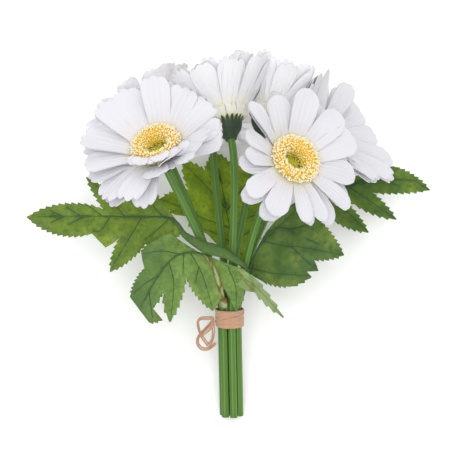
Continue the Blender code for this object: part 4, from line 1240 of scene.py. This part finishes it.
def make_bow(surface):
    """The loose loops of the tie, as flat fibrous strands from a small knot."""
    shape = Shape()
    for k, points in enumerate(STRANDS):
        path = smooth_path([seen(*point) for point in points], STRAND_STEPS)
        share = np.linspace(0, 1, len(path))
        outward = TOWARD_CAMERA + RIGHT * (STRAND_ROLL * np.sin(ROLL_WAVE * share + k))[:, None]
        across = unit(np.cross(unit(np.gradient(path, axis=0)), outward))
        for side in (-1, 1):
            apart = side * (SPLIT_APART[0] + SPLIT_APART[1] * np.sin(APART_WAVE * share + 2 * k + side))
            width = SPLIT_WIDTH[0] + SPLIT_WIDTH[1] * np.sin(SPLIT_WAVE * share + 3 * k + side)
            split = path + across * (STRAND_WIDTH * apart)[:, None] + outward * SPLIT_LIFT * side
            shape.add(*ribbon(split, STRAND_WIDTH * width, STRAND_THICKNESS, outward, STRAND_ROUNDING))
    turn = np.linspace(0, math.tau, KNOT_STEPS)
    wide, deep = (width / 2 - KNOT_INSET for width in KNOT_WIDTHS)
    for k in range(KNOT_TURNS):
        height = (k - (KNOT_TURNS - 1) / 2) * KNOT_PITCH + KNOT_INSET * np.sin(turn)
        ring = np.stack((np.cos(turn) * wide, height, np.sin(turn) * deep), 1)
        shape.add(*ribbon(seen(*KNOT_PLACE) + ring, *KNOT_STRAND, ring * (1, 0, 1) + 1e-6, STRAND_ROUNDING))
    shape.piece("raffia_loops", "raffia_bow", surface)


class Nodes:
    """Adds the nodes of one procedural material."""

    def __init__(self, name, kind):
        roughness, sheen, self.depth = SURFACES[kind]
        self.made = bpy.data.materials.new(name)
        self.made.use_nodes = True
        self.tree = self.made.node_tree
        self.shader = self.tree.nodes["Principled BSDF"]
        self.shader.inputs["Roughness"].default_value = roughness
        self.shader.inputs["Sheen Weight"].default_value = sheen
        self.shader.inputs["Specular IOR Level"].default_value = SPECULAR

    def node(self, kind, inputs, **settings):
        """A node with its sockets set, or linked where an output is given."""
        made = self.tree.nodes.new(kind)
        for key, value in settings.items():
            setattr(made, key, value)
        for key, value in inputs.items():
            if isinstance(value, bpy.types.NodeSocket):
                self.tree.links.new(value, made.inputs[key])
            else:
                made.inputs[key].default_value = value
        return made

    def parts(self, vector):
        return self.node("ShaderNodeSeparateXYZ", {0: vector}).outputs

    def marks(self):
        """The three numbers that the piece carries at each point."""
        return self.parts(self.node("ShaderNodeAttribute", {}, attribute_name="place").outputs["Vector"])

    def place(self):
        """Where a point of the piece lies, in metres."""
        return self.node("ShaderNodeTexCoord", {}).outputs["Object"]

    def math(self, operation, a, b=0.0):
        return self.node("ShaderNodeMath", {0: a, 1: b}, operation=operation).outputs[0]

    def times(self, a, b):
        return self.math("MULTIPLY", a, b)

    def blend(self, share, first, second):
        """A colour between two, each given as a colour or an output."""
        colours = [(*colour, 1) if isinstance(colour, tuple) else colour for colour in (first, second)]
        inputs = {0: share, 6: colours[0], 7: colours[1]}
        return self.node("ShaderNodeMix", inputs, data_type="RGBA").outputs[2]

    def noise(self, scale, detail=DETAIL, stretch=None, roughness=NOISE_ROUGHNESS):
        """Noise over the piece in metres, stretched along an axis if asked."""
        place = self.place()
        if stretch:
            inputs = {0: place, 1: stretch}
            place = self.node("ShaderNodeVectorMath", inputs, operation="MULTIPLY").outputs[0]
        inputs = {"Vector": place, "Scale": scale, "Detail": detail, "Roughness": roughness}
        return self.node("ShaderNodeTexNoise", inputs).outputs["Fac"]

    def ramp(self, value, low, high):
        """A value that goes from 0 to 1 between two limits."""
        return self.node("ShaderNodeMapRange", {0: value, 1: low, 2: high, 3: 0.0, 4: 1.0}).outputs[0]

    def over(self, below, above, value, low, high, most=None):
        """A colour that gives way to another, wholly or at most so far, as a value goes between limits."""
        share = self.ramp(value, low, high)
        return self.blend(share if most is None else self.times(share, most), below, above)

    def finish(self, colour, height):
        """Sets the colour and the relief."""
        self.tree.links.new(colour, self.shader.inputs["Base Color"])
        bump = self.node("ShaderNodeBump",
                         {"Height": height, "Strength": BUMP_STRENGTH, "Distance": self.depth * MM})
        self.tree.links.new(bump.outputs[0], self.shader.inputs["Normal"])
        return self.made


def petal_cloth_painted_light(name, painted_light):
    """White cloth with fine ribs along each petal and a cream root; painted shade in the rib grooves,
    painted light on the undersides and in each bloom's tone.
    """
    n = Nodes(name, "petal")
    across, along, side = n.marks()
    ribs = n.math("ADD", n.times(n.math("SINE", n.times(across, PETAL_RIBS)), 0.5), 0.5)
    mottle = n.noise(220, 4)
    # Painted light: each bloom's tone makes both its whites lighter or darker
    upper, under = (tuple(painted_light * c for c in white) for white in (PETAL_WHITE, PETAL_UNDERSIDE_PAINTED_LIGHT))
    # Painted light: undersides take a lighter white than tops
    white = n.over(upper, under, side, 1.2, 1.8)
    tint = n.over(white, PETAL_CREAM, along, 0.30, 0.02, 0.6)
    tint = n.blend(n.times(n.ramp(along, 0.12, 0), n.ramp(ribs, 0.1, 0.9)), tint, PETAL_FOOT)
    # Painted shade: the rib grooves go towards lavender grey
    tint = n.blend(n.times(n.math("SUBTRACT", 1, ribs), 0.1), tint, PETAL_GROOVE_SHADE)
    return n.finish(tint, n.math("ADD", n.times(ribs, 0.7), n.times(mottle, 0.5)))


def floret_fluff():
    """Florets that go from a darker orange at their feet, painted shade of the depths, over yellow to cream
    tips.
    """
    n = Nodes("floret_fluff", "floret")
    high, chance, around = n.marks()
    side = n.over(FLORET_SIDE, BUD_GREEN, around, 0.66, 0.95, 0.75)
    # Painted shade: the feet and mouths of the florets, and the core under them, take the darker orange
    low = n.over(FLORET_DEPTH_SHADE, side, high, 0, 0.35)
    low = n.over(low, side, around, 0.75, 1)
    tips = n.times(n.ramp(high, 0.4, 0.9), n.ramp(chance, -0.8, 0.6))
    tips = n.times(tips, n.ramp(around, 0.95, 0.6))
    return n.finish(n.blend(tips, low, FLORET_TIP), n.noise(FLORET_GRAIN))


def eye_buds():
    """Green buds with painted shade at their feet and on the dome between them, some of them yellower."""
    n = Nodes("eye_buds", "bud")
    high, chance, _ = n.marks()
    # Painted shade: buds darken towards their feet, and the dome takes the darkest colour
    colour = n.over(BUD_FOOT_SHADE, BUD_GREEN, high, 0.1, 0.8)
    return n.finish(n.blend(n.times(chance, 0.35), colour, BUD_YELLOW), n.noise(FLORET_GRAIN))


def stem_plastic():
    """Moulded green with a painted highlight along the ridge tops, and dark scales with yellow-green edges
    at the cup.
    """
    n = Nodes("stem_plastic", "stem")
    ridge, along, _ = n.marks()
    green = n.blend(n.noise(90, DETAIL, (1, 0.25, 1)), STEM_GREEN, tuple(1.35 * c for c in STEM_GREEN))
    # Painted highlight: the ridge tops go paler
    stem = n.over(green, STEM_RIDGE_HIGHLIGHT, ridge, 0.72, 1, 0.55)
    on_cup = n.ramp(along, 1.2, 1.8)
    tip = n.math("SUBTRACT", along, n.math("FLOOR", along))
    edge = n.times(n.ramp(ridge, 0.45, 0.85), n.ramp(tip, 0.35, 0.7))
    rim = n.math("MAXIMUM", edge, n.ramp(tip, 0.72, 0.92))
    scales = n.blend(n.times(rim, 0.8), BRACT_DARK, BRACT_EDGE)
    return n.finish(n.blend(on_cup, stem, scales), n.noise(500, 4, (1, 0.12, 1)))


def leaf_cloth(leaf, green, light):
    """Printed leaf cloth: a green ground with paler patches, dark veins and a fine weave."""
    n = Nodes(f"{leaf}_cloth", "leaf")
    vein, away, part = n.marks()
    patches = n.ramp(n.noise(75, 6, roughness=0.7), 0.40, 0.62)
    mottle = n.noise(300, 4, roughness=0.7)
    ground = n.blend(n.times(patches, n.math("ADD", n.times(away, 0.7), 0.25)), green, light)
    ground = n.over(ground, LEAF_SHADE, n.noise(55, 2), 0.5, 0.72, 0.5)
    if leaf in DARK_ENDS:
        across, _, _ = n.parts(n.place())
        ground = n.over(ground, LEAF_SHADE, across, *DARK_ENDS[leaf])
    ground = n.over(ground, tuple(0.45 * c for c in green), mottle, 0.35, 0.75)
    upper = n.math("MINIMUM", part, UPPER_MARK)
    under = n.over(ground, LEAF_UNDERSIDE, n.noise(110, DETAIL, (1, 0.4, 1)), 0.3, 0.65, 0.75)
    side = n.blend(upper, under, ground)
    ink = n.blend(upper, UNDERSIDE_VEIN, LEAF_VEIN)
    colour = n.over(side, ink, vein, 0.12, 0.6, 0.85)
    petiole = n.over(PETIOLE_PALE, PETIOLE_BROWN, n.noise(260, DETAIL, (1, 0.15, 1)), 0.48, 0.58)
    colour = n.over(colour, LEAF_SHADE, part, 1.2, STALK_MARK, 0.65)
    colour = n.over(colour, petiole, part, STALK_MARK, PETIOLE_MARK)
    weave = n.node("ShaderNodeTexWave", {"Scale": LEAF_WEAVE, "Distortion": 1.5, "Detail": 1.0},
                   bands_direction="DIAGONAL").outputs["Fac"]
    return n.finish(colour, n.math("ADD", n.times(weave, 0.4), mottle))


def raffia_fibre():
    """Flat dried fibre with fine streaks along each strand, and painted shade along each strand's edges."""
    n = Nodes("raffia_fibre", "raffia")
    across, along, _ = n.marks()
    place = n.node("ShaderNodeCombineXYZ", {0: n.times(across, 9), 1: n.times(along, 0.1)}).outputs[0]
    streak = n.node("ShaderNodeTexNoise", {"Vector": place, "Scale": 1.6, "Detail": 4}).outputs["Fac"]
    # Painted shade: each strand goes darker towards its edges
    edge = n.ramp(n.math("ABSOLUTE", across), 1, 0.75)
    colour = n.blend(n.times(n.ramp(streak, 0.40, 0.62), edge), RAFFIA_STREAK_AND_EDGE_SHADE, RAFFIA)
    return n.finish(colour, streak)


def make_floor():
    """A pale floor under the bunch."""
    reach = FLOOR_REACH
    mesh = bpy.data.meshes.new("floor")
    mesh.from_pydata([(-reach, -reach, 0), (reach, -reach, 0), (reach, reach, 0), (-reach, reach, 0)], [],
                     [(0, 1, 2, 3)])
    paint = bpy.data.materials.new("floor_paint")
    paint.use_nodes = True
    shader = paint.node_tree.nodes["Principled BSDF"]
    shader.inputs["Base Color"].default_value = (FLOOR_TONE, FLOOR_TONE, FLOOR_TONE, 1)
    shader.inputs["Roughness"].default_value = FLOOR_ROUGHNESS
    mesh.materials.append(paint)
    floor = add_object("floor", mesh)
    floor.location.z = -FLOOR_GAP * MM


def make_light():
    """Soft lamps and a white world, with colours shown as they are."""
    world = bpy.data.worlds.new("studio")
    world.use_nodes = True
    background = world.node_tree.nodes["Background"]
    background.inputs["Color"].default_value = (1, 1, 1, 1)
    background.inputs["Strength"].default_value = WORLD_STRENGTH
    bpy.context.scene.world = world
    bpy.context.scene.view_settings.view_transform = "Standard"
    for name, place, size, power in LAMPS:
        lamp = bpy.data.lights.new(name, "AREA")
        lamp.size = size
        lamp.energy = power
        made = add_object(name, lamp)
        made.location = place
        made.rotation_euler = (Vector(place) - Vector(LAMPS_AIM)).to_track_quat("Z", "Y").to_euler()


def make_camera():
    """The photograph's camera, which looks down on the bunch."""
    away = Vector((0, -math.sin(LEAN), math.cos(LEAN)))
    tie = Vector(laid([(0, 0, 0)])[0])
    tie.z = FLOOR_DROP * MM
    camera = bpy.data.cameras.new("photo_view")
    camera.sensor_width = SENSOR_WIDTH
    camera.lens = SENSOR_WIDTH / (PHOTO_SPAN / VIEW_DISTANCE)
    camera.clip_end = CLIP_END
    made = add_object("photo_view", camera)
    made.location = tie + away * VIEW_DISTANCE * MM
    made.rotation_euler = away.to_track_quat("Z", "Y").to_euler()
    bpy.context.scene.camera = made


def dress():
    """Makes every piece of the bunch in its finish."""
    blooms = [Bloom(i + 1, *spec) for i, spec in enumerate(BLOOMS)]
    fluff, buds, plastic = floret_fluff(), eye_buds(), stem_plastic()
    for bloom in blooms:
        bloom.make_room(blooms)
    # Each bloom gets its own copy of the petal cloth, lighter or darker as painted light
    for bloom, painted_light in zip(blooms, PETAL_PAINTED_LIGHT):
        make_petals(bloom, petal_cloth_painted_light(f"petal_cloth_painted_light_{bloom.number}", painted_light))
        make_disc(bloom, fluff)
        make_eye(bloom, buds)
        make_stem(bloom, plastic)
    for name, groove, edges, stalk in LEAVES:
        make_leaf(name, groove, edges, stalk, leaf_cloth(name, *LEAF_GROUNDS_AND_PAINTED_LIGHT[name]))
    fibre = raffia_fibre()
    make_band(fibre)
    make_bow(fibre)


make_floor()
make_light()
make_camera()
dress()
